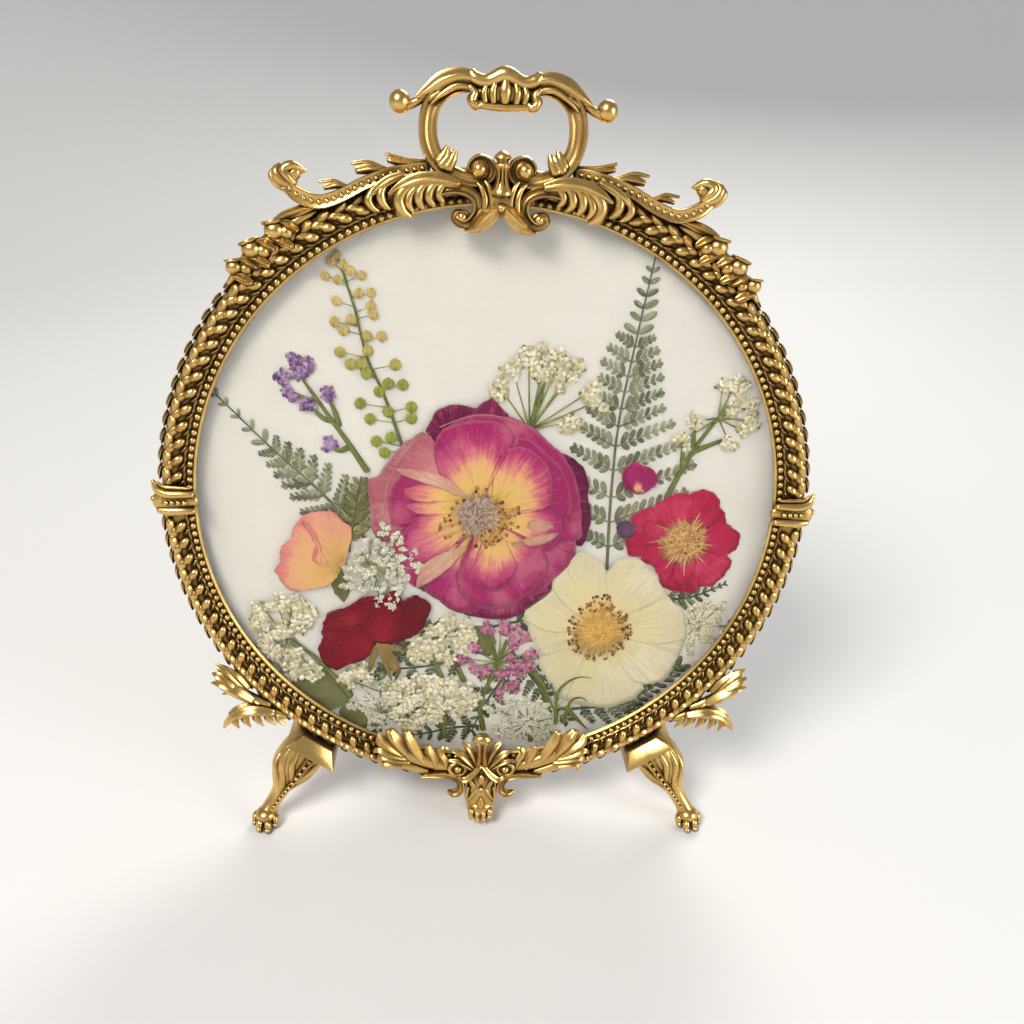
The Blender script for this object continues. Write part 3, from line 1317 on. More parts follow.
CREAM = petal_finish("cream_petal_finish", (
    (0.0, (0.74, 0.58, 0.26)), (0.45, (0.72, 0.61, 0.34)), (1.0, (0.66, 0.59, 0.38)),
), (0.36, 0.29, 0.13, 1), (0.82, 0.75, 0.57, 1), 1.2, 0.6, 0.8)
CRIMSON = petal_finish("crimson_petal_finish", (
    (0.0, (0.62, 0.18, 0.16)), (0.35, (0.50, 0.030, 0.085)), (0.7, (0.42, 0.010, 0.056)),
    (1.0, (0.38, 0.007, 0.046)),
), (0.19, 0.002, 0.022, 1), (0.74, 0.10, 0.17, 1), 1.8)
DARK_RED = petal_finish("dark_red_petal_finish", (
    (0.0, (0.30, 0.006, 0.02)), (0.5, (0.22, 0.002, 0.012)), (1.0, (0.15, 0.001, 0.008)),
), (0.06, 0.001, 0.006, 1), (0.46, 0.03, 0.06, 1), 0.9, edging=0.25)
PEACH = petal_finish("peach_petal_finish", (
    (0.0, (0.60, 0.33, 0.09)), (0.5, (0.74, 0.43, 0.16)), (0.85, (0.72, 0.36, 0.19)),
    (1.0, (0.64, 0.19, 0.20)),
), (0.44, 0.20, 0.06, 1), (0.70, 0.22, 0.26, 1), 0.6, 0.3, 0.8)
print("petal finishes made, finishes so far:", len(bpy.data.materials))

# %% [markdown]
# Florets, leaflets and stems are too small for veins. Each piece has a shade of its own between
# two colours, with a few blotches, and a floret may have a heart of a third colour.

# %% Finishes of florets, leaves and stems
def small_finish(name, low, high, heart=None):
    material, shader, place = new_finish(name, Specular_IOR_Level=0.25)
    (along,) = layer_values(place, "grow", 1)
    (own,) = layer_values(place, "tone", 1)
    cloud = grain(place, 330, 3)
    fine = grain(place, 1900, 3)
    body = (cloud * 0.6 + own * 0.7 + fine * 0.4).between(0.4, 1.2).blend(low, high)
    if heart:
        body = along.between(0.0, 0.32).blend(heart, body)
    feed(
        shader,
        Base_Color=body,
        Roughness=0.6 + fine * 0.2,
        Normal=relief(fine + cloud, 0.08, 0.8),
    )
    return material


WHITE = small_finish(
    "white_floret_finish", (0.56, 0.48, 0.24, 1), (0.93, 0.87, 0.68, 1), (0.38, 0.36, 0.09, 1)
)
LACE = small_finish(
    "lace_floret_finish", (0.60, 0.57, 0.36, 1), (0.92, 0.88, 0.74, 1), (0.36, 0.37, 0.15, 1)
)
LACE_STEM = small_finish("lace_stem_finish", (0.16, 0.18, 0.07, 1), (0.42, 0.42, 0.22, 1))
VIOLET = small_finish(
    "violet_floret_finish", (0.14, 0.06, 0.20, 1), (0.50, 0.30, 0.52, 1), (0.34, 0.26, 0.12, 1)
)
DARK_VIOLET = small_finish(
    "dark_violet_bud_finish", (0.045, 0.016, 0.06, 1), (0.21, 0.085, 0.17, 1)
)
PINK = small_finish(
    "pink_floret_finish", (0.26, 0.015, 0.14, 1), (0.68, 0.30, 0.40, 1), (0.30, 0.25, 0.08, 1)
)
FERN = small_finish("fern_leaf_finish", (0.13, 0.14, 0.07, 1), (0.35, 0.35, 0.21, 1))
DARK_FERN = small_finish("dark_fern_leaf_finish", (0.06, 0.085, 0.035, 1), (0.19, 0.21, 0.10, 1))
OLIVE = small_finish("olive_leaf_finish", (0.11, 0.11, 0.03, 1), (0.27, 0.25, 0.09, 1))
STEM = small_finish("green_stem_finish", (0.13, 0.15, 0.03, 1), (0.36, 0.36, 0.09, 1))
BROWN = small_finish("brown_sepal_finish", (0.11, 0.065, 0.014, 1), (0.30, 0.20, 0.055, 1))
GOLD = small_finish("golden_stamen_finish", (0.54, 0.29, 0.05, 1), (0.86, 0.55, 0.15, 1))
ANTHER = small_finish("anther_finish", (0.06, 0.025, 0.006, 1), (0.50, 0.24, 0.05, 1))
GREY = small_finish("grey_style_finish", (0.20, 0.11, 0.07, 1), (0.60, 0.48, 0.38, 1))
CREASE = small_finish("petal_crease_finish", (0.52, 0.20, 0.20, 1), (0.80, 0.50, 0.44, 1))
BEIGE = small_finish("beige_boss_finish", (0.38, 0.17, 0.045, 1), (0.80, 0.52, 0.22, 1))
print("small finishes made, finishes so far:", len(bpy.data.materials))

# %% [markdown]
# ## The two-toned rose
#
# The largest bloom lies against the glass. Dark outer petals show at its top, right and foot, wide
# magenta petals lie over them, and golden ones round the heart. Some petals folded over as they
# were pressed, and show their pale backs.

# %% Outlines of the two-toned rose
ROSE_TWO_TONE = (
    # root, reach of the gold, darkness, outline
    ((-8, 8), 0.3, 0.72, ((-16.9, 19.6), (-14.7, 24.3), (-11.9, 26.4), (-9, 27), (-5.8, 26.2),
        (-4.2, 24), (-8, 8))),
    ((0, 8), 0.3, 0.62, ((-5.6, 24.6), (-2.6, 27.1), (-0.1, 28.4), (2.4, 26.1), (4.9, 23.4),
        (8, 18), (0, 8))),
    ((12, 2), 0.3, 0.85, (
        (17.4, 15), (20.6, 13.9), (24.9, 10), (26.4, 1.4), (27.25, -3.2), (26.7, -6.4),
        (23.9, -11.1), (12, 2))),
    ((4, -12), 0.35, 0.5, (
        (18.4, -18), (17.8, -21.4), (17.1, -24.6), (13.9, -27.5), (11, -30.4), (7.8, -32.5),
        (3.9, -33.6),
        (-1.9, -32.9), (-6.5, -30.7), (-4, -20), (4, -12))),
    ((2, -6), 0.5, 0.1, (
        (24, -8), (23.1, -13.6), (21.7, -17.1), (18.9, -19.8), (16.6, -22.6), (12.6, -26), (6, -22),
        (2, -6))),
    ((-4, -8), 0.62, 0.12, (
        (-15.4, -20), (-17.6, -23.4), (-14.7, -26.4), (-11.9, -28.6), (-9, -30.7), (-6.5, -31.2),
        (-2, -30.6),
        (-1, -20), (-4, -8))),
    ((-6, -6), 0.85, 0.02, (
        (-22, -6), (-25.6, -10.6), (-24.4, -15), (-23, -18.6), (-21.9, -21.4), (-18.4, -24),
        (-14, -19.6), (-6, -6))),
    ((2, 0), 0.52, 0.03, (
        (-13, 20.6), (-7.6, 23.6), (-1.9, 24.6), (4.75, 23.8), (8.1, 22.5), (10.3, 21.4),
        (13.5, 18.8), (17.1, 15.9),
        (19.6, 12.9), (21.7, 9.6), (23.1, 5.7), (24.2, 2.1), (24.6, -3), (24, -9.3), (14, -8),
        (2, 0))),
    ((1, 0), 0.66, 0.0, (
        (6, 19.4), (10.4, 18), (15, 14.4), (18.6, 10.4), (20.8, 5.6), (21.6, 0.6), (20.4, -6),
        (15.4, -10), (8, -6),
        (1, 0))),
    ((-6, 1), 0.62, 0.05, (
        (-13, 9.6), (-19, 9.4), (-23.6, 8), (-26, 3), (-26.6, -2), (-25, -6), (-20, -6.4),
        (-12, -4), (-6, 1))),
    ((-5, 1), 1.2, -0.05, ((-9, 5.4), (-15, 5.6), (-20, 5), (-22.4, 3), (-20, 1), (-12, -0.6),
        (-5, 1))),
    ((-5, -1), 1.2, -0.05, ((-10, 0.8), (-16, 0.9), (-20.6, 0), (-22, -1.6), (-18, -3), (-11, -3),
        (-5, -1))),
    ((-4, -4), 1.0, -0.03, (
        (-7, -2), (-14, -2.6), (-18.3, -3.6), (-21.5, -6.4), (-23, -10.5), (-22.4, -14.6),
        (-18.6, -17), (-14.6, -15.4),
        (-9.4, -11.6), (-4, -4))),
    ((1, -1), 1.05, 0.0, (
        (0.8, 8.6), (2.4, 14), (6, 16.4), (10.4, 15.6), (14.4, 12), (16.2, 7.6), (16.5, 3),
        (15.6, -0.2), (8, -2.4),
        (1, -1))),
    ((2, -4), 0.95, 0.0, (
        (15.4, -0.6), (18.6, -1.6), (19.6, -5), (18.8, -9.6), (16, -12.4), (12.4, -12), (7.4, -9),
        (2, -4))),
    ((-3, 0), 0.86, 0.0, (
        (-8.4, 2.8), (-13.6, 8.6), (-14.7, 14.3), (-14, 18.2), (-11.1, 21.4), (-7.6, 22.5),
        (-1.9, 23.2), (2.4, 22.7),
        (5, 20), (5, 16.6), (2.2, 13.9), (0.6, 8.6), (-3, 0))),
    ((1, -6), 0.66, 0.0, (
        (-4.4, -9), (-7.2, -17), (-8.1, -21.1), (-7.2, -25), (-4.6, -28), (-1.2, -29.7), (2.6, -30),
        (7.1, -28.6),
        (12.1, -25), (15.3, -20.7), (16, -16.4), (13.9, -12.1), (8, -7.6), (1, -6))),
    ((1.5, -7), 0.95, 0.0, (
        (4.6, -10), (7.8, -15.7), (7.2, -20), (4.4, -23.6), (1.7, -24.8), (-1.2, -23.4), (-3, -20),
        (-3, -13), (1.5, -7))),
)
DUSKY_PETALS = (
    ((-12, 4), 1.0, 0.1, (
        (-14, 16), (-17, 19.2), (-20, 17.6), (-22.6, 16.1), (-25.1, 13.2), (-27.6, 9.6),
        (-29.4, 7.1), (-31.9, 5.7),
        (-31.3, -2.1), (-30.4, -7.9), (-27.2, -11.1), (-20, -8), (-12, 4))),
)
PINK_SHOULDER = (
    ((-7, 5), 1.0, 0.0, (
        (-14.6, 8.4), (-19.4, 9.4), (-24.4, 9.6), (-25, 11.4), (-22, 15.4), (-18.4, 18),
        (-15.6, 18.6), (-14.2, 14), (-7, 5))),
)
PALE_FOLDS = (
    ((-5.4, -11.1), 1.0, 0.0, ((-9.4, -17.2), (-14, -21.1), (-18.8, -23.8), (-18.2, -18.9),
        (-15.4, -15.6), (-10, -12.8))),
    ((-5.4, 2.3), 1.0, 0.0, ((-9, 5.8), (-14, 8.4), (-19, 9.4), (-24.7, 9.6), (-19.7, 6.8),
        (-14, 5.4), (-8.5, 2.6))),
    ((10, -5.6), 1.0, 0.1, ((10.6, -4.4), (13, -3.6), (16.2, -4.2), (17, -5.6), (15, -7),
        (11.8, -7))),
    ((9, -9.6), 1.0, 0.15, ((10, -8.8), (14, -8), (18.5, -7.2), (16.6, -9.4), (13, -11),
        (10, -10.8))),
    ((6, -10.6), 1.0, 0.3, ((6.6, -10.2), (8.2, -10), (9.8, -10.6), (8.4, -11.5), (6.8, -11.4))),
)
print("petals of the two-toned rose:", len(ROSE_TWO_TONE))


# %% The two-toned rose
def rose_petals(name, petals, material, slot, front, back, replaces=(), **details):
    """Petals from the back of the bloom to its front, as one piece."""
    bm = plant()
    for order, (root, reach, dark, outline) in enumerate(petals):
        depth = back - (back - front) * order / max(1, len(petals) - 1)
        petal(bm, root, outline, depth, reach, dark, **details)
    pressed(name, bm, material, replaces)


CREASES = (
    ((-16, 19.6), (-20.6, 16), (-25.4, 8.6), (-27.2, 3.2), (-28.3, -5.7)),
    ((3.9, -1.9), (10, -0.9), (15.6, 0.7)),
    ((-24.6, 9.5), (-18, 7.8), (-12, 5.6), (-6, 2.4)),
    ((-13.4, 21), (-6, 24), (0, 24.4), (6, 22.8)),
)


def rose_two_tone():
    slot = "magenta_petal"
    replaced = ["rose_two_tone"]
    rose_petals("rose_two_tone_petals", ROSE_TWO_TONE, TWO_TONE, slot, 2.44, 2.86, replaced)
    rose_petals("rose_two_tone_dusky_petals", DUSKY_PETALS, DUSKY, slot, 2.9, 2.9)
    rose_petals("rose_two_tone_shoulder", PINK_SHOULDER, DUSKY, slot, 2.56, 2.56)
    rose_petals("rose_two_tone_folds", PALE_FOLDS, PALE_FOLD, slot, 2.38, 2.38, ruffle=0.4)
    lines = plant()
    for line in CREASES:
        stalk(lines, line, 2.4, 0.13, 0.07)
    pressed("rose_two_tone_creases", lines, CREASE, sheet=0)


rose_two_tone()

# %% [markdown]
# The heart of a rose is a fuzzy disc of styles. Fine threads stand round it and carry anthers.
# Real ones lie at random, so a seeded generator scatters them between two radii.

# %% Hearts of the roses
def scattered(count, seed, low, high, start=0, stop=360):
    """Points of (x, z) round a centre, between two radii and two headings."""
    draw = random.Random(seed)
    found = []
    for _ in range(count):
        turn = math.radians(draw.uniform(start, stop))
        radius = math.sqrt(draw.uniform(low ** 2, high ** 2))
        found.append((radius * math.cos(turn), radius * math.sin(turn)))
    return found


def heart(
    name, centre, slot, depth, disc, disc_finish, styles, threads, thread_finish, knobs, knob
):
    """The middle of a rose: a fuzzy disc, fine threads round it, and anthers at their ends."""
    x, z = centre
    draw = random.Random(7)
    core = plant()
    seed_ball(core, 0, 0, 1, 0, 0.06, 18, 8)
    seat = Matrix.Translation((x, depth, z)) @ Matrix.Diagonal((disc[0], 1, disc[1], 1))
    bmesh.ops.transform(core, matrix=seat, verts=core.verts)
    for dx, dz in styles:
        at = (x + dx * disc[0] * 1.04, z + dz * disc[1] * 1.04)
        lean = (at[0] + draw.uniform(-0.9, 0.9) + dx, at[1] + draw.uniform(-0.9, 0.9) + dz)
        thread(core, at, lean, depth - 0.07, 0.14, 0.08, 3)
        seed_ball(core, *at, draw.uniform(0.2, 0.36), depth - 0.08, 0.3, 5, 3)
    pressed(f"{name}_disc", core, disc_finish, sheet=0)
    lines, tips = plant(), plant()
    for dx, dz in threads:
        radius = math.hypot(dx, dz)
        start = (x + dx / radius * disc[0] * 0.7, z + dz / radius * disc[1] * 0.7)
        thread(lines, start, (x + dx, z + dz), depth + 0.01, 0.13, 0.08, 3)
    for dx, dz in knobs:
        seed_ball(tips, x + dx, z + dz, knob * draw.uniform(0.65, 1.3), depth - 0.05, 0.25, 6, 4)
    pressed(f"{name}_threads", lines, thread_finish, sheet=0)
    pressed(f"{name}_anthers", tips, ANTHER, sheet=0)


two_tone_knobs = (
    scattered(54, 3, 4.2, 9.6, 262, 335) + scattered(30, 4, 4.8, 11.5, 335, 375)
    + scattered(26, 5, 4.6, 7.6, 30, 250) + scattered(10, 8, 8, 11, 185, 265)
)
heart(
    "rose_two_tone", (-3.0, -2.6), "magenta_petal", 2.4, (4.7, 5.2), GREY,
    scattered(520, 2, 0, 1.0), scattered(90, 6, 4.6, 8.0) + two_tone_knobs, GOLD, two_tone_knobs,
    0.46,
)

# %% [markdown]
# ## The other roses and the buds
#
# The cream rose is a single one with a ring of golden stamens. The crimson one is ruffled, the dark
# red one was pressed from the side, and the buds are closed.

# %% The cream rose
ROSE_CREAM = (
    # root, reach, darkness, outline
    ((30.5, -38), 0.9, 0.05, (
        (30.8, -40.4), (28.4, -50), (25.6, -59), (21.6, -57.3), (17.9, -52), (15.4, -47.3),
        (18, -43.6), (24, -40))),
    ((32, -38), 0.9, 0.0, (
        (34.5, -39.5), (41, -47), (45.8, -53.6), (45, -56.4), (42.9, -58.9), (39.4, -60.1),
        (36, -61.4), (31, -60.9),
        (27.3, -60.4), (23.8, -58.6), (26.5, -50), (30.4, -40))),
    ((33, -36.6), 0.9, 0.12, (
        (47.3, -39), (55.7, -39.4), (54.8, -44.5), (53.5, -48.9), (51.9, -52.3), (49.1, -53.4),
        (46, -53.7),
        (42.9, -52.3), (38, -46), (34, -38))),
    ((30, -36.6), 0.95, 0.1, (
        (28, -39.6), (19, -44), (16, -43.6), (13.2, -39.5), (11.6, -35.8), (10.7, -32.6),
        (18.5, -34.4), (26, -35))),
    ((33, -36), 1.0, 0.0, (
        (43.5, -25.2), (49.8, -25.4), (51.4, -27), (54.1, -29.5), (55.7, -33.6), (56.2, -37),
        (55.7, -39.2),
        (51, -40.4), (47.3, -40.6), (40, -38.8), (34, -36), (38.5, -30.8))),
    ((30, -35.6), 1.0, 0.02, (
        (24, -37), (18.5, -36.8), (13.8, -35.4), (11, -33.4), (10.7, -31.2), (13.2, -28.7),
        (16.3, -26.4), (18, -22.6),
        (21.5, -25.4), (26, -30.6), (30, -35))),
    ((32.5, -35), 1.0, 0.08, (
        (32.2, -19.6), (33.5, -17), (36, -15), (39.8, -14.7), (42.9, -16.1), (46, -19.5),
        (47.9, -22.3), (49.8, -25.8),
        (43.5, -27.4), (38.5, -31.4), (33, -35))),
    ((31, -35), 1.0, 0.0, (
        (18.2, -20.6), (21, -17.9), (22.6, -14.6), (24.4, -13), (26, -12.8), (28.5, -13.7),
        (31, -16.1), (32.6, -19.4),
        (33, -26), (32, -34), (25.7, -31.8), (20.5, -27), (17.8, -23))),
)


def rose_cream():
    rose_petals(
        "rose_cream_petals", ROSE_CREAM, CREAM, "cream_petal", 2.86, 3.2, ["rose_cream"], rings=12
    )
    knobs = scattered(130, 11, 6.2, 9.2) + scattered(12, 12, 9.0, 11.5, 75, 115)
    heart(
        "rose_cream", (31.6, -36.6), "cream_petal", 2.78, (3.4, 3.4), GOLD,
        scattered(260, 13, 0, 1.3), scattered(260, 14, 4.5, 8.0) + knobs, GOLD, knobs, 0.46,
    )


rose_cream()

# %% [markdown]
# The crimson rose has two rounds of ruffled petals. The back round shows only at the edge. A few
# pale streaks run out from the heart, where the petals folded.

# %% The crimson rose
ROSE_CRIMSON = (
    ((52, -9), 1.0, 0.2, ((43.5, -15), (38.5, -14), (37.75, -11.5), (38.2, -8), (44, -6), (50, -8),
        (49, -12))),
    ((53, -9), 1.0, 0.1, ((60, 1.9), (62.6, 0.3), (63.4, -3), (65.9, -4.9), (64, -8), (57, -10),
        (56, -4))),
    ((53, -10), 1.0, 0.25, (
        (58.8, -21.4), (57.75, -24), (55, -24), (53.5, -25), (49.75, -24), (47.8, -22.2),
        (48.6, -16), (52, -10), (56, -13.6))),
    ((52, -9), 1.0, 0.0, (
        (38.1, -8.6), (38.75, -5.25), (38, -3), (38.75, -1.5), (44, 0.1), (47.6, -1), (52, -7),
        (45.6, -9))),
    ((53, -9), 1.0, 0.05, (
        (52, 4.3), (55.75, 5.7), (57.5, 5.35), (60.6, 3.4), (61.5, 1), (60, -2.6), (55, -8),
        (52.4, -4))),
    ((53, -10), 1.0, 0.05, (
        (65.75, -11.9), (66.7, -14.5), (66.3, -16.75), (63.75, -20.9), (60.75, -22.35),
        (58.2, -22.1), (56, -17),
        (53.5, -11), (60, -10))),
    ((52, -10), 1.0, 0.05, ((49, -22.6), (47, -20.4), (44.5, -16.9), (42, -15), (43.4, -12),
        (51, -9.6), (52.6, -15))),
    ((53, -9), 1.0, 0.0, (
        (64.4, -4.2), (67.75, -6.1), (68.5, -8.5), (68, -10.4), (65.75, -12.5), (60, -12.8),
        (54, -10), (58, -5.6))),
    ((52, -8), 1.0, 0.0, (
        (43.6, -0.6), (44.4, 1), (45.4, 2.2), (49.5, 4.2), (52.6, 4.6), (54.2, 0.6), (53, -6),
        (47.6, -5))),
    ((53, -12), 1.0, 0.1, ((51.4, -14), (50.6, -19), (52.6, -22.6), (55.6, -21.4), (56.4, -16),
        (54.6, -12.6))),
    ((50, -8), 1.0, 0.1, ((48, -6), (43.4, -3.4), (41.2, -5.6), (43, -8.6), (47.4, -9.6))),
    ((55, -6), 1.0, 0.1, ((55.4, -4), (57.6, 1), (60.6, 0.2), (61, -3.4), (57.6, -6))),
)


CRIMSON_STREAKS = (
    ((48.6, -8.6), (43.4, -9.8)), ((49.4, -6.4), (45, -4.8)), ((57, -9.8), (61, -10.4)),
    ((53.6, -15), (54, -19.6)), ((50.6, -14), (48.6, -17.4)), ((56.4, -12.6), (59.4, -15.8)),
    ((55, -4.4), (56.4, -1)),
)


def rose_crimson():
    slot = "crimson_petal"
    rose_petals(
        "rose_crimson_petals", ROSE_CRIMSON, CRIMSON, slot, 3.2, 3.46, ["rose_crimson"], ruffle=1.4
    )
    heart(
        "rose_crimson", (53.0, -9.4), slot, 3.1, (4.4, 5.0), BEIGE, scattered(300, 22, 0, 1.05),
        scattered(260, 23, 4.8, 7.4), BEIGE, scattered(26, 21, 2.0, 6.4), 0.4,
    )
    streaks = plant()
    for start, end in CRIMSON_STREAKS:
        thread(streaks, start, end, 3.16, 0.3, 0.1, 5)
    pressed("rose_crimson_streaks", streaks, BEIGE, sheet=0)


rose_crimson()

# %% [markdown]
# The dark red rose lies on its side, with its sepals at its foot. The peach bud is three petals
# rolled over each other, and the two small buds have only a few.

# %% The dark red rose and the buds
ROSE_DARK_RED = (
    ((-29, -41), 1.0, 0.45, (
        (-24.6, -26.2), (-22.3, -27.7), (-18.7, -26.3), (-15, -29.3), (-15.7, -32.7), (-17, -36),
        (-19.7, -38.7),
        (-23.3, -40.6), (-29, -41.4), (-28, -34))),
    ((-29.6, -41), 1.0, 0.1, (
        (-43.4, -32.4), (-40.7, -31), (-36.7, -29.3), (-33.3, -27), (-27.7, -26.3), (-26, -25),
        (-23.3, -25.3),
        (-24.4, -31), (-29, -40), (-36, -37), (-43, -36))),
    ((-30, -41), 1.0, 0.25, (
        (-43.2, -32), (-44.2, -35), (-44.6, -39), (-42, -41.6), (-35, -41.8), (-30, -41),
        (-34, -36), (-38.6, -33.4))),
    ((-30, -41), 1.0, 0.18, (
        (-44.2, -38.6), (-45.8, -41.7), (-46.1, -44), (-44.8, -46.8), (-42.3, -49.1),
        (-40.3, -49.3), (-38, -48.1),
        (-33.7, -46.1), (-31.5, -44.4), (-29.6, -41.4), (-36, -38), (-41, -37))),
    ((-29, -41), 1.0, 0.0, ((-31, -28.6), (-25, -27.4), (-22.4, -31), (-23, -37.6), (-28.4, -41),
        (-33.4, -37), (-34, -31.6))),
    ((-36, -34), 1.0, -0.1, ((-41.4, -33.4), (-38.6, -30.8), (-33.6, -30.4), (-31.6, -33),
        (-33.8, -35.6), (-38.6, -35.6))),
)
BUD_PEACH = (
    ((-38, -17), 0.98, 0.12, (
        (-48.7, -3.7), (-46.7, -2.8), (-43.6, -2.5), (-40.7, -2.7), (-39, -5), (-36.3, -6.3),
        (-36, -9), (-37, -12.7),
        (-38, -15.7), (-40.3, -18.7), (-41.7, -22.7), (-45.3, -24.2), (-51, -20), (-51.3, -8))),
    ((-39, -19), 0.98, 0.0, (
        (-49.2, -5.4), (-51.3, -7), (-52.3, -10.3), (-54.8, -13.3), (-55.2, -16.7), (-56.5, -19.2),
        (-55.7, -21.3), (-53.7, -24.7), (-51, -25.7), (-45.3, -24.7), (-41.7, -22.9),
        (-40.3, -19.4), (-44.3, -17.6), (-46.6, -15.7),
        (-46, -12.7), (-46.8, -9.7))),
    ((-42.6, -17.4), 0.6, 0.0, (
        (-49, -5), (-47.6, -7.4), (-46.2, -10.2), (-45.6, -13), (-46.2, -15.4), (-44.4, -17.2),
        (-44, -15.6),
        (-44.4, -12.6), (-45.4, -9.4), (-47.4, -5.6))),
)


MAGENTA_BUD = (
    ((40, 4.4), 0.2, 0.35, (
        (35.2, 11.4), (34.4, 9), (35.25, 6.25), (37.25, 4.6), (41, 4.4), (40, 9), (37.6, 12.6))),
    ((40, 4.4), 0.2, 0.2, (
        (39, 12.2), (42.5, 10.9), (44, 8.2), (43.1, 6.4), (41.4, 4.6), (39, 5), (38.4, 9))),
    ((39, 4.4), 0.45, 0.0, (
        (36.8, 13.2), (39.5, 12.1), (41.2, 10), (41, 6.6), (38.6, 5), (36.4, 6.6), (35.6, 10))),
)
VIOLET_BUD = (
    ((37.6, -6), 0.3, 0.8, (
        (34, -5.25), (35.25, -3.75), (38.75, -4.6), (39.4, -6.25), (37.75, -8.35), (35.25, -8.1))),
    ((37, -6), 0.3, 0.55, ((34.8, -5.6), (36, -4.2), (38, -5), (38, -7), (36, -7.6))),
)
SEPALS = (
    # root, tip, half width
    ((-28.6, -41), (-23.6, -50.5), 1.7), ((-29.6, -41), (-32, -50), 1.0),
    ((-28.6, -41.4), (-21.4, -43.6), 0.8), ((-29.4, -41), (-25.6, -53), 0.7),
)


def rose_dark_red():
    slot = "dark_red_petal"
    replaced = ["rose_dark_red"]
    rose_petals(
        "rose_dark_red_petals", ROSE_DARK_RED, DARK_RED, slot, 2.5, 2.74, replaced, ruffle=1.0
    )
    sepals = plant()
    for root, tip, width in SEPALS:
        petal(sepals, root, oval(root, tip, width, 0.4), 2.46, ruffle=0.5, rings=5)
        mark(sepals, sepals.verts, 0.5, tip[0] * 0.37)
    pressed("rose_dark_red_sepals", sepals, BROWN)


rose_dark_red()
for name, petals, material, slot, front, ruffle in (
    ("bud_peach", BUD_PEACH, PEACH, "peach_petal", 2.56, 1.1),
    ("bud_magenta", MAGENTA_BUD, TWO_TONE, "magenta_petal", 2.6, 0.3),
    ("bud_violet", VIOLET_BUD, DARK_VIOLET, "violet_floret", 2.66, 0.4),
):
    rose_petals(f"{name}_petals", petals, material, slot, front, 2.74, [name], ruffle=ruffle)

# %% [markdown]
# ## Ferns
#
# A fern is one shape three times over: a stalk with leaves, each leaf a stalk with leaflets. A
# leaflet is a single flat face of eight corners, because there are hundreds of them.

# %% Ferns
def frond(bm, depth, spine, pairs, longest, spread, widest, least, leaflet, fused):
    """A frond on a spine, its leaves longest at the widest share of its length."""
    path = [Vector(point) for point in smooth(spine, 10)]
    stalk(bm, spine, depth, 0.42, 0.14)
    for pair in range(pairs):
        share = ((pair + 0.5) / pairs) ** 0.75
        at = share * (len(path) - 1)
        root = path[int(at)].lerp(path[min(int(at) + 1, len(path) - 1)], at % 1)
        ahead = path[min(int(at) + 2, len(path) - 1)] - path[max(int(at) - 2, 0)]
        heading = math.degrees(math.atan2(ahead.y, ahead.x))
        shrink = (1 - share) / (1 - widest) if share > widest else 0.8 + 0.2 * share / widest
        length = longest * max(shrink, least)
        for side in (-1, 1):
            turn = side * spread * (1.05 - 0.3 * share ** 2)
            pinna(bm, root, heading + turn, length, depth + 0.03 * side, leaflet, fused, -side)


def pinna(bm, root, heading, length, depth, leaflet, fused, upper=0):
    """One leaf of a frond: plain where it is short, and rows of leaflets where it is long."""
    leaflet = min(leaflet, length * 0.4)
    if length < 4.6:
        return blade(bm, root.x, root.y, length, length * 0.21, heading, depth, 10, -0.15)
    turn = math.radians(heading)
    ahead = Vector((math.cos(turn), math.sin(turn)))
    if fused:
        blade(bm, root.x, root.y, length, fused, heading, depth, 12, 0.2)
    else:
        thread(bm, root, root + ahead * length, depth, 0.2, 0.1)
    count = max(3, round(length / (leaflet * 0.66)))
    for index in range(count):
        share = (index + 0.7) / (count + 0.4)
        spot = root + ahead * (length * share)
        size = leaflet * (1.08 - 0.55 * share)
        for side in (-1, 1):
            reach = size * (0.95 + 0.2 * side * upper)
            lean = heading + side * 46
            blade(bm, spot.x, spot.y, reach, size * 0.23, lean, depth + 0.015 * side, 8, -0.15)
    tip = root + ahead * (length - leaflet * 0.7)
    blade(bm, tip.x, tip.y, leaflet * 0.9, leaflet * 0.25, heading, depth, 8, 0.1)


print("fern helpers ready")

# %% [markdown]
# The tall fern leans, and is wider on its right. So its leaves are given pair by pair, as they were
# measured in the photograph. The smaller fronds follow one rule.

# %% The tall fern
TALL_SPINE = [(32.6, -18), (32.1, 2.7), (32.6, 23.5), (35.2, 44), (38.2, 64.6)]
TALL_PAIRS = (
    # height of the pair, length of its left leaf, length of its right leaf
    (-11.5, 8.0, 20.0), (-4.5, 9.1, 22.0), (2.5, 10.7, 23.6), (10.0, 12.8, 19.7),
    (16.6, 12.0, 16.1), (22.0, 9.4, 12.6), (26.6, 7.8, 11.3), (31.0, 7.9, 10.4), (35.0, 8.0, 9.0),
    (38.8, 7.3, 7.3), (42.6, 5.8, 5.4), (46.0, 4.4, 4.5), (49.2, 3.7, 4.4), (52.2, 3.3, 4.1),
    (55.2, 3.2, 3.4), (58.2, 2.8, 2.8), (61.0, 2.2, 2.2),
)


def tall_fern():
    bm = plant()
    depth = LAYER_DEPTHS[3]
    stalk(bm, TALL_SPINE, depth, 0.42, 0.14)
    for z, left, right in TALL_PAIRS:
        root = Vector((next(x for x, height in smooth(TALL_SPINE, 10) if height >= z), z))
        leaflet = 3.7 - 0.025 * z
        upright = max(0, z - 36) * 0.5
        pinna(bm, root, 152 - upright, left, depth + 0.03, leaflet, 0, -1)
        pinna(bm, root, 24 + upright, right, depth - 0.03, leaflet, 0, 1)
    pressed("fern_tall_leaves", bm, FERN, ["fern_tall"])


tall_fern()

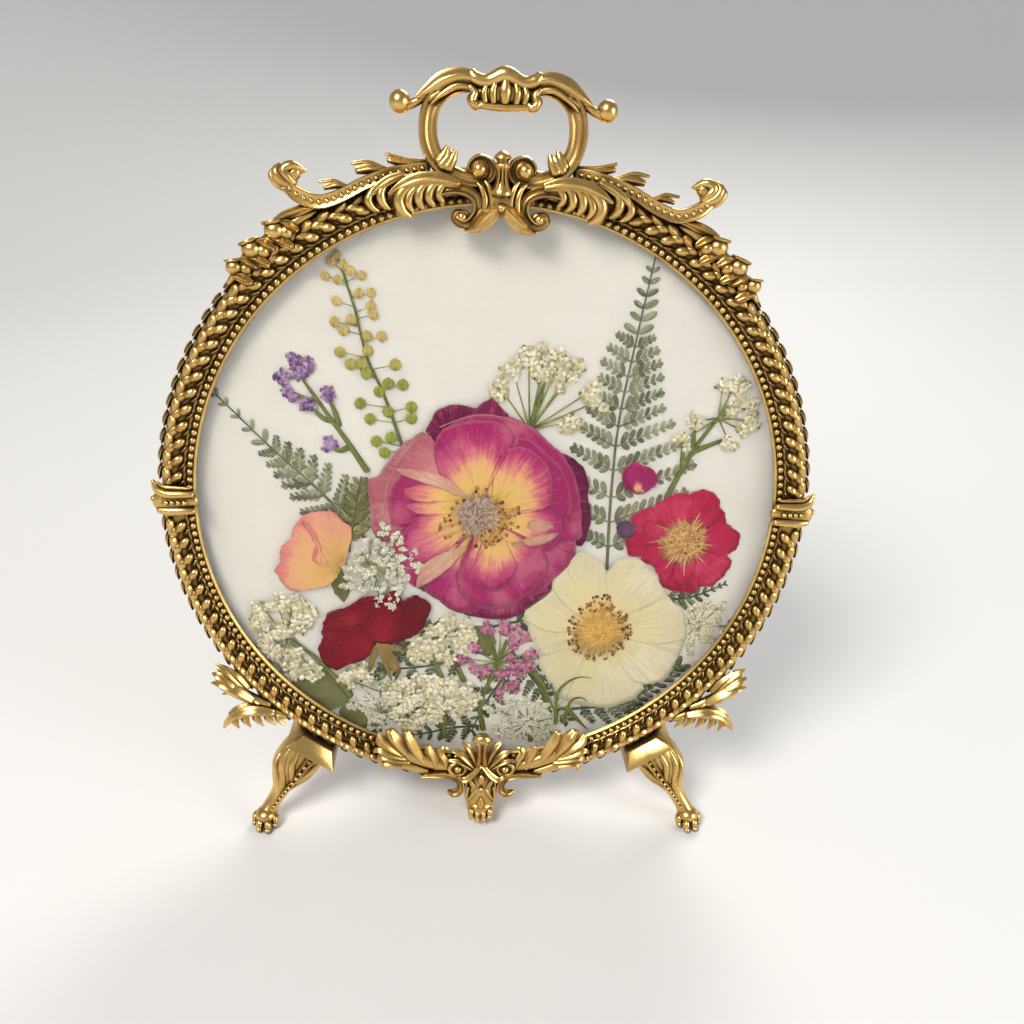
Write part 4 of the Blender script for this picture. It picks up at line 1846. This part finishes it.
# %% The smaller ferns
FRONDS = {
    # spine, pairs, longest leaf, spread, widest at, least share, leaflet, half width if fused
    "fern_left": [
        ([(-33, -10), (-44, 2.5), (-56, 14), (-69.5, 28)], 12, 10.0, 52, 0.2, 0.22, 2.7, 0.7),
    ],
    "fern_sprig_right": [([(49, -27), (57, -26), (66, -21.8)], 8, 5.2, 50, 0.2, 0.25, 1.5, 0)],
    "fern_sprigs_low": [
        ([(26, -62), (38, -60.5), (47, -56), (56, -47.5)], 14, 7.0, 52, 0.2, 0.5, 2.3, 0),
    ],
    "fern_low_left": [
        ([(-4, -46), (-16, -48.5), (-28, -50), (-34, -52)], 8, 6.6, 62, 0.3, 0.4, 2.2, 0),
        ([(-1, -68), (-8, -68.5), (-16, -70.4), (-22, -71.5)], 7, 5.4, 60, 0.3, 0.4, 2.2, 0),
        ([(-12, -34), (-22, -42), (-30, -52)], 7, 6.6, 55, 0.3, 0.4, 2.0, 0),
        ([(2, -36), (12, -33.5), (20, -32)], 6, 4.6, 55, 0.3, 0.5, 1.8, 0),
        ([(7, -50), (1, -60), (-3, -70)], 7, 6.4, 58, 0.3, 0.4, 2.0, 0),
        ([(8, -44), (16, -55), (25, -66)], 9, 6.8, 58, 0.3, 0.4, 2.0, 0),
        ([(-18, -56), (-25, -62), (-31, -70)], 7, 6.0, 58, 0.3, 0.4, 2.0, 0),
    ],
}


def ferns():
    for name, rows in FRONDS.items():
        bm = plant()
        for order, row in enumerate(rows):
            frond(bm, LAYER_DEPTHS[3] + 0.02 * order, *row)
        green = FERN if name == "fern_left" else DARK_FERN
        pressed(f"{name}_leaves", bm, green, [name])
    short = plant()
    depth = LAYER_DEPTHS[2]
    for row in range(8):
        for side in (-1, 1):
            foot = Vector((-36.6 + 0.42 * row, -11 + 2.2 * row))
            heading, length = 91 + side * (50 - 2 * row), 7.0 - 0.55 * row
            pinna(short, foot, heading, length, depth + 0.03 * side, 1.5, 0.8)
    stalk(short, [(-37, -14), (-35.6, -4), (-33.4, 7)], depth - 0.05, 0.35, 0.2)
    pressed("fern_short_leaves", short, OLIVE, ["fern_short"])


ferns()
print("fern leaves on", len(FRONDS) + 2, "ferns")

# %% [markdown]
# ## Small blossom
#
# Alyssum grows in clusters of four-petalled florets, and lace flower in umbels of far smaller ones.
# A floret is a few flat faces, tilted a little each its own way, on a fine stalk.

# %% Clusters and umbels
def floret(bm, x, z, radius, depth, draw, petals):
    start = draw.uniform(0, 90)
    for index in range(petals):
        heading = start + 360 / petals * index + draw.uniform(-12, 12)
        size = radius * draw.uniform(0.85, 1.15)
        lift, tilt = draw.uniform(-0.07, 0.07), draw.uniform(-12, 12)
        blade(bm, x, z, size, radius * 0.42, heading, depth + lift, 7, -0.3, tilt)


FLORET_STALK = 0.15


def cluster(bm, stems, centres, radius, depth, seed, root, spread, count, petals):
    """Florets crowded round some centres, with a stalk from each centre to the root."""
    draw = random.Random(seed)
    for x, z in centres:
        if root:
            thread(stems, root, (x, z), depth + 0.12, FLORET_STALK * 1.5, FLORET_STALK)
        for _ in range(count):
            turn = draw.uniform(0, math.tau)
            away = spread * math.sqrt(draw.random())
            spot = (x + away * math.cos(turn), z + away * math.sin(turn))
            size, lift = radius * draw.uniform(0.75, 1.15), draw.uniform(-0.14, 0.02)
            floret(bm, *spot, size, depth + lift, draw, petals)
            thread(stems, (x, z), spot, depth + 0.1, FLORET_STALK * 0.7)
            if draw.random() < 0.65:
                heading, tilt = draw.uniform(0, 360), draw.uniform(-20, 5)
                leaf = radius * 1.3, radius * 0.35
                blade(stems, *spot, *leaf, heading, depth + 0.05, 7, 0.2, tilt)


def blossom(name, kind, centres, radius, layer, seed, root, main_stems, spread, count):
    """One blossom: its florets are one piece, and its stems another."""
    material, slot, petals, green = kind
    bm, stems = plant(), plant()
    depth = LAYER_DEPTHS[layer]
    cluster(bm, stems, centres, radius, depth, seed, root, spread, count, petals)
    for line in main_stems:
        upward = line if line[0][1] < line[-1][1] else line[::-1]
        stalk(stems, upward, depth + 0.12, 0.8, 0.35)
    pressed(f"{name}_florets", bm, material, [name])
    pressed(f"{name}_stems", stems, green)
    print(name, "has", len(centres) * count, "florets")


# %% [markdown]
# Each blossom lists the centres of its clusters as they lie in the photograph, then the size of a
# floret, the layer, the seed, the point where its stalks meet, its main stems, how far the florets
# of a cluster spread, and how many there are.

# %% White alyssum
WHITE_ALYSSUM = (WHITE, "white_floret", 4, STEM)
blossom("alyssum_white_top", WHITE_ALYSSUM, [
    (2, 31), (4.5, 36.5), (8.5, 39.6), (12.5, 40.4), (16.5, 38.8), (20, 36), (24.5, 31), (20, 23),
    (12, 36), (17.5, 33.5), (26.5, 28.5),
], 1.5, 2, 31, (9.6, 20.5), [[(9, 19), (11.4, 27), (13, 34)]], 2.4, 8)
blossom("alyssum_white_right", WHITE_ALYSSUM, [
    (58.5, 33), (61.5, 34), (64.4, 32), (66.6, 28.6), (67, 24.6), (65.6, 21.6), (62, 28),
    (52.5, 24.2), (49.6, 18.6), (62.3, 18),
], 1.35, 2, 32, (58.4, 25), [
    [(47, 3), (51, 12.5), (55, 20), (60.5, 28)], [(53, 16), (62, 20)], [(52.4, 15), (52.5, 24)],
    [(50.4, 11), (49.8, 18)],
], 1.9, 8)
blossom("alyssum_white_left", WHITE_ALYSSUM, [
    (-60, -31.5), (-56.5, -29.2), (-52.6, -29.6), (-49.4, -31.8), (-62, -36), (-58.5, -41),
    (-56, -45), (-50, -36), (-51.5, -46), (-54.5, -50), (-47.5, -50.4), (-60.8, -44), (-55.4, -38),
], 1.65, 1, 33, (-54, -40), [[(-57, -36), (-51, -42), (-44, -49), (-37.5, -58)]], 2.6, 9)
blossom("alyssum_white_low", WHITE_ALYSSUM, [
    (-25, -58), (-22, -55.6), (-18, -54.2), (-14, -54), (-10, -54.5), (-5.5, -56), (-3.4, -59.4),
    (-20, -60), (-22.5, -63), (-17.6, -63.8), (-20, -67), (-7.6, -61.4), (-13, -58.5), (-14, -64.2),
    (-37.5, -53), (-33.8, -50.5), (-16, -59), (-9, -58),
], 1.7, 1, 34, (-12, -64), [
    [(-12, -58), (-11, -66), (-11, -71.5)], [(-13, -60), (-10.5, -66)],
], 2.6, 10)
blossom("alyssum_white_mid", WHITE_ALYSSUM, [
    (-13.4, -37), (-10.5, -34), (-6.6, -36), (-4.6, -38.6), (-18.5, -41.5), (-16, -42.8),
    (-19.5, -45.2), (-12, -42), (-10.6, -45.6), (-6.4, -42), (-16, -45),
], 1.6, 2, 35, (-12.5, -39.5), [
    [(-12, -36), (-9, -45), (-5.5, -53)], [(-18, -38), (-14, -46), (-12, -52)],
], 1.9, 9)

# %% Violet and pink alyssum
VIOLET_ALYSSUM = (VIOLET, "violet_floret", 4, STEM)
PINK_ALYSSUM = (PINK, "pink_floret", 4, STEM)
blossom("alyssum_violet", VIOLET_ALYSSUM, [
    (-49.5, 36.4), (-45.8, 35.8), (-52.6, 32.6), (-48, 32.6), (-50.6, 28.6), (-41.4, 28.2),
    (-46.4, 25.4), (-41.4, 15.8),
], 1.35, 2, 36, None, [
    [(-47.5, 32), (-40.8, 22), (-36.4, 15.6), (-32, 8.6)],
    [(-46.2, 25.8), (-43, 22.4), (-40.8, 21.8)],
    [(-41.4, 27.6), (-39.8, 24), (-38.9, 20.6)], [(-41.2, 15.2), (-38.8, 13.8), (-36.4, 15)],
    [(-50, 28.6), (-46.5, 27), (-44.6, 27.4)],
], 1.5, 8)
blossom("alyssum_pink", PINK_ALYSSUM, [
    (1.2, -36.2), (4.4, -35.8), (8, -37), (11.6, -39.2), (13.4, -43.6), (12, -47.6), (8.6, -45.6),
    (8, -41), (-3.4, -43), (-6.2, -46), (-2.6, -48.4), (5.4, -50.6), (9.4, -50), (5, -57),
    (8.4, -54.6), (-0.4, -50.4),
], 1.35, 2, 37, (4, -47), [
    [(6, -40), (3, -50), (-0.6, -60), (0.4, -69)], [(12, -48), (16, -54), (19.4, -63)],
    [(2, -42), (5, -52)],
], 1.7, 6)

# %% Lace flower
LACE_FLOWER = (LACE, "white_floret", 5, LACE_STEM)
WHITE_LACE = (WHITE, "white_floret", 5, LACE_STEM)
blossom("lace_left", LACE_FLOWER, [
    (-28, -7.5), (-24, -9.6), (-22.6, -14), (-31, -11), (-26.6, -12.6), (-30, -15), (-33.6, -14.6),
    (-36.6, -17.4), (-27, -17), (-24.6, -17.4), (-22, -20.6), (-26, -21), (-30.6, -20), (-34, -20),
    (-37.6, -23), (-33.4, -23.6), (-29, -24), (-24.6, -24.4), (-28.6, -28.6), (-25, -28.4),
    (-19, -18.4), (-20.6, -14.2),
], 0.74, 0, 38, (-31.5, -17.5), (), 1.9, 10)
blossom("lace_low", LACE_FLOWER, [
    (5.5, -62.6), (9, -60.5), (12.6, -60), (16, -61), (18.5, -62.6), (21, -60), (22.4, -64.6),
    (19, -67.5), (20.4, -70), (15, -65), (11, -65), (7.4, -66.4), (5, -69), (9, -70), (13, -70),
    (16.5, -71), (2.6, -61.6), (14, -68),
], 0.8, 2, 39, (13.4, -67), [[(13, -66), (14.4, -72.6)]], 2.0, 10)
blossom("lace_low_left", LACE_FLOWER, [
    (-33.4, -55.6), (-29, -54.6), (-25.6, -54), (-36.4, -61), (-32, -59.4), (-28, -60),
    (-24.6, -61.6), (-32.4, -63.4), (-28.6, -66), (-25.6, -65.4), (-30.6, -67.6),
], 0.76, 2, 40, (-29, -63), (), 1.9, 10)
blossom("lace_right", WHITE_LACE, [
    (58, -30.4), (61.6, -28.6), (65.4, -29), (57, -34), (60.6, -33), (64, -33.6), (67, -35),
    (57, -38), (60.4, -38.4), (63.4, -40), (59, -42), (62, -36),
], 0.74, 3, 41, (59.5, -35), (), 2.0, 10)

# %% [markdown]
# ## Peppergrass
#
# Its round flat pods hang on fine stalks. Each is a lens inside a paler rim. Those at the top have
# ripened to straw, so their finish changes with height.

# %% Pod finishes
def pod_finish(name, green, straw):
    """Green below, and ripened to straw at the top of the stalk."""
    material, shader, place = new_finish(name, Specular_IOR_Level=0.25)
    height = place.node("ShaderNodeSeparateXYZ", output=2, _0=place)
    cloud, fine = grain(place, 420, 3), grain(place, 2200, 3)
    ripe = (height + (cloud - 0.5) * 0.02).between(0.122, 0.142)
    low, high = cloud.blend(*green), cloud.blend(*straw)
    feed(
        shader,
        Base_Color=ripe.blend(low, high),
        Roughness=0.55 + fine * 0.2,
        Normal=relief(fine + cloud, 0.1, 0.8),
    )
    return material


POD = pod_finish(
    "pod_finish", ((0.17, 0.20, 0.02, 1), (0.36, 0.38, 0.06, 1)),
    ((0.42, 0.29, 0.08, 1), (0.66, 0.49, 0.18, 1)),
)
POD_RIM = pod_finish(
    "pod_rim_finish", ((0.30, 0.33, 0.07, 1), (0.46, 0.47, 0.14, 1)),
    ((0.60, 0.46, 0.2, 1), (0.74, 0.6, 0.3, 1)),
)
print("finishes so far:", len(bpy.data.materials))

# %% Peppergrass
PODS = (
    (-41.4, 57.4), (-39.8, 60.8), (-38.6, 62.4), (-37, 60.2), (-35.2, 58.8), (-32.6, 57.8),
    (-38.4, 56.6), (-33.4, 53.6), (-30.4, 53.8), (-38.8, 51.6), (-30.6, 50.6), (-30, 48.6),
    (-35.4, 47.2), (-39.4, 46.6), (-37.2, 44.6), (-31.6, 43.4), (-28.0, 43.4), (-31.4, 39.8),
    (-38.2, 39.2), (-35.6, 36.2), (-33, 36.4), (-31.8, 34), (-24.6, 36.4), (-26.4, 31.6),
    (-22.8, 31.4), (-28.6, 29.6), (-33.4, 26.4), (-26.4, 24.4), (-20.6, 25.8), (-20.6, 22.8),
    (-31, 22.4), (-25.8, 17.6), (-29.4, 16.6), (-27.4, 13.6),
)


def peppergrass():
    pods, rims, stems = plant(), plant(), plant()
    depth = LAYER_DEPTHS[2]
    line = [(-22.6, 14.5), (-25.4, 23), (-28, 30), (-31.6, 38), (-34.2, 49), (-36, 55), (-38.4, 62)]
    stalk(stems, line, depth, 0.45, 0.25)
    path = smooth(line, 6)
    for x, z in PODS:
        below = [point for point in path if point[1] < z - 0.8]
        foot = max(below, key=lambda point: point[1], default=path[0])
        if math.hypot(x - foot[0], z - foot[1]) > 1.5:
            thread(stems, foot, (x, z), depth + 0.02, 0.14, 0.1)
        ripe = max(0.0, min(1.0, (z - 36) / 20))
        radius = 1.6 - 0.35 * ripe
        seed_ball(rims, x, z, radius, depth, 0.06, 14, 4)
        seed_ball(pods, x, z, radius * 0.86, depth - 0.04, 0.14, 12, 6)
        thread(pods, (x, z - radius), (x, z + radius), depth - 0.2, 0.12)
    pressed("peppergrass_pods", pods, POD, ["peppergrass"], sheet=0)
    pressed("peppergrass_pod_rims", rims, POD_RIM, sheet=0)
    pressed("peppergrass_stems", stems, STEM, sheet=0)


peppergrass()
print("pods of the peppergrass:", len(PODS))

# %% [markdown]
# ## Leaves and grass
#
# A few plain leaves lie under the blossom, made as petals with a green finish. Blades of grass are
# swept threads that run over them, right behind the glass.

# %% Leaves and grass
LEAF_GREEN = petal_finish("leaf_green_finish", (
    (0.0, (0.19, 0.185, 0.065)), (0.5, (0.16, 0.16, 0.052)), (1.0, (0.19, 0.18, 0.07)),
), (0.07, 0.07, 0.02, 1), (0.33, 0.32, 0.14, 1), 1.2)
LEAVES = (
    # root, tip, half width
    ((-36.6, -57.8), (-54.5, -55.4), 6.4), ((-39, -60), (-34, -69), 3.6),
    ((1.6, -45), (-3.2, -35.6), 3.4), ((-19, -24), (-13, -23.6), 1.8),
    ((-38.6, -29), (-40.4, -19), 2.0),
)
GRASS = (
    # line of a blade, and how wide it starts
    ([(21.2, -66), (21, -57), (23.4, -53), (27, -51), (30.4, -51.2)], 0.6),
    ([(21.2, -66), (20.6, -58), (19.2, -53)], 0.25),
    ([(23.4, -66), (24.8, -59.4), (27.6, -57.6), (30, -58.8)], 0.6),
    ([(24, -61), (27.6, -65), (30.4, -68)], 0.9),
    ([(14.4, -49.6), (17.6, -55.4), (20.6, -62)], 0.8),
)


def leaves_and_grass():
    leaf = plant()
    depth = LAYER_DEPTHS[2] + 0.14
    for root, tip, half_width in LEAVES:
        petal(leaf, root, oval(root, tip, half_width, 0.45), depth, 1.0, 0.2)
    pressed("round_leaf_sheet", leaf, LEAF_GREEN, ["round_leaf"])
    grass = plant()
    for line, width in GRASS:
        stalk(grass, line, 2.42, width, 0.15)
    pressed("grass_blade_stems", grass, STEM, ["grass_blades"], sheet=0)


leaves_and_grass()
print("leaves:", len(LEAVES), "blades of grass:", len(GRASS))
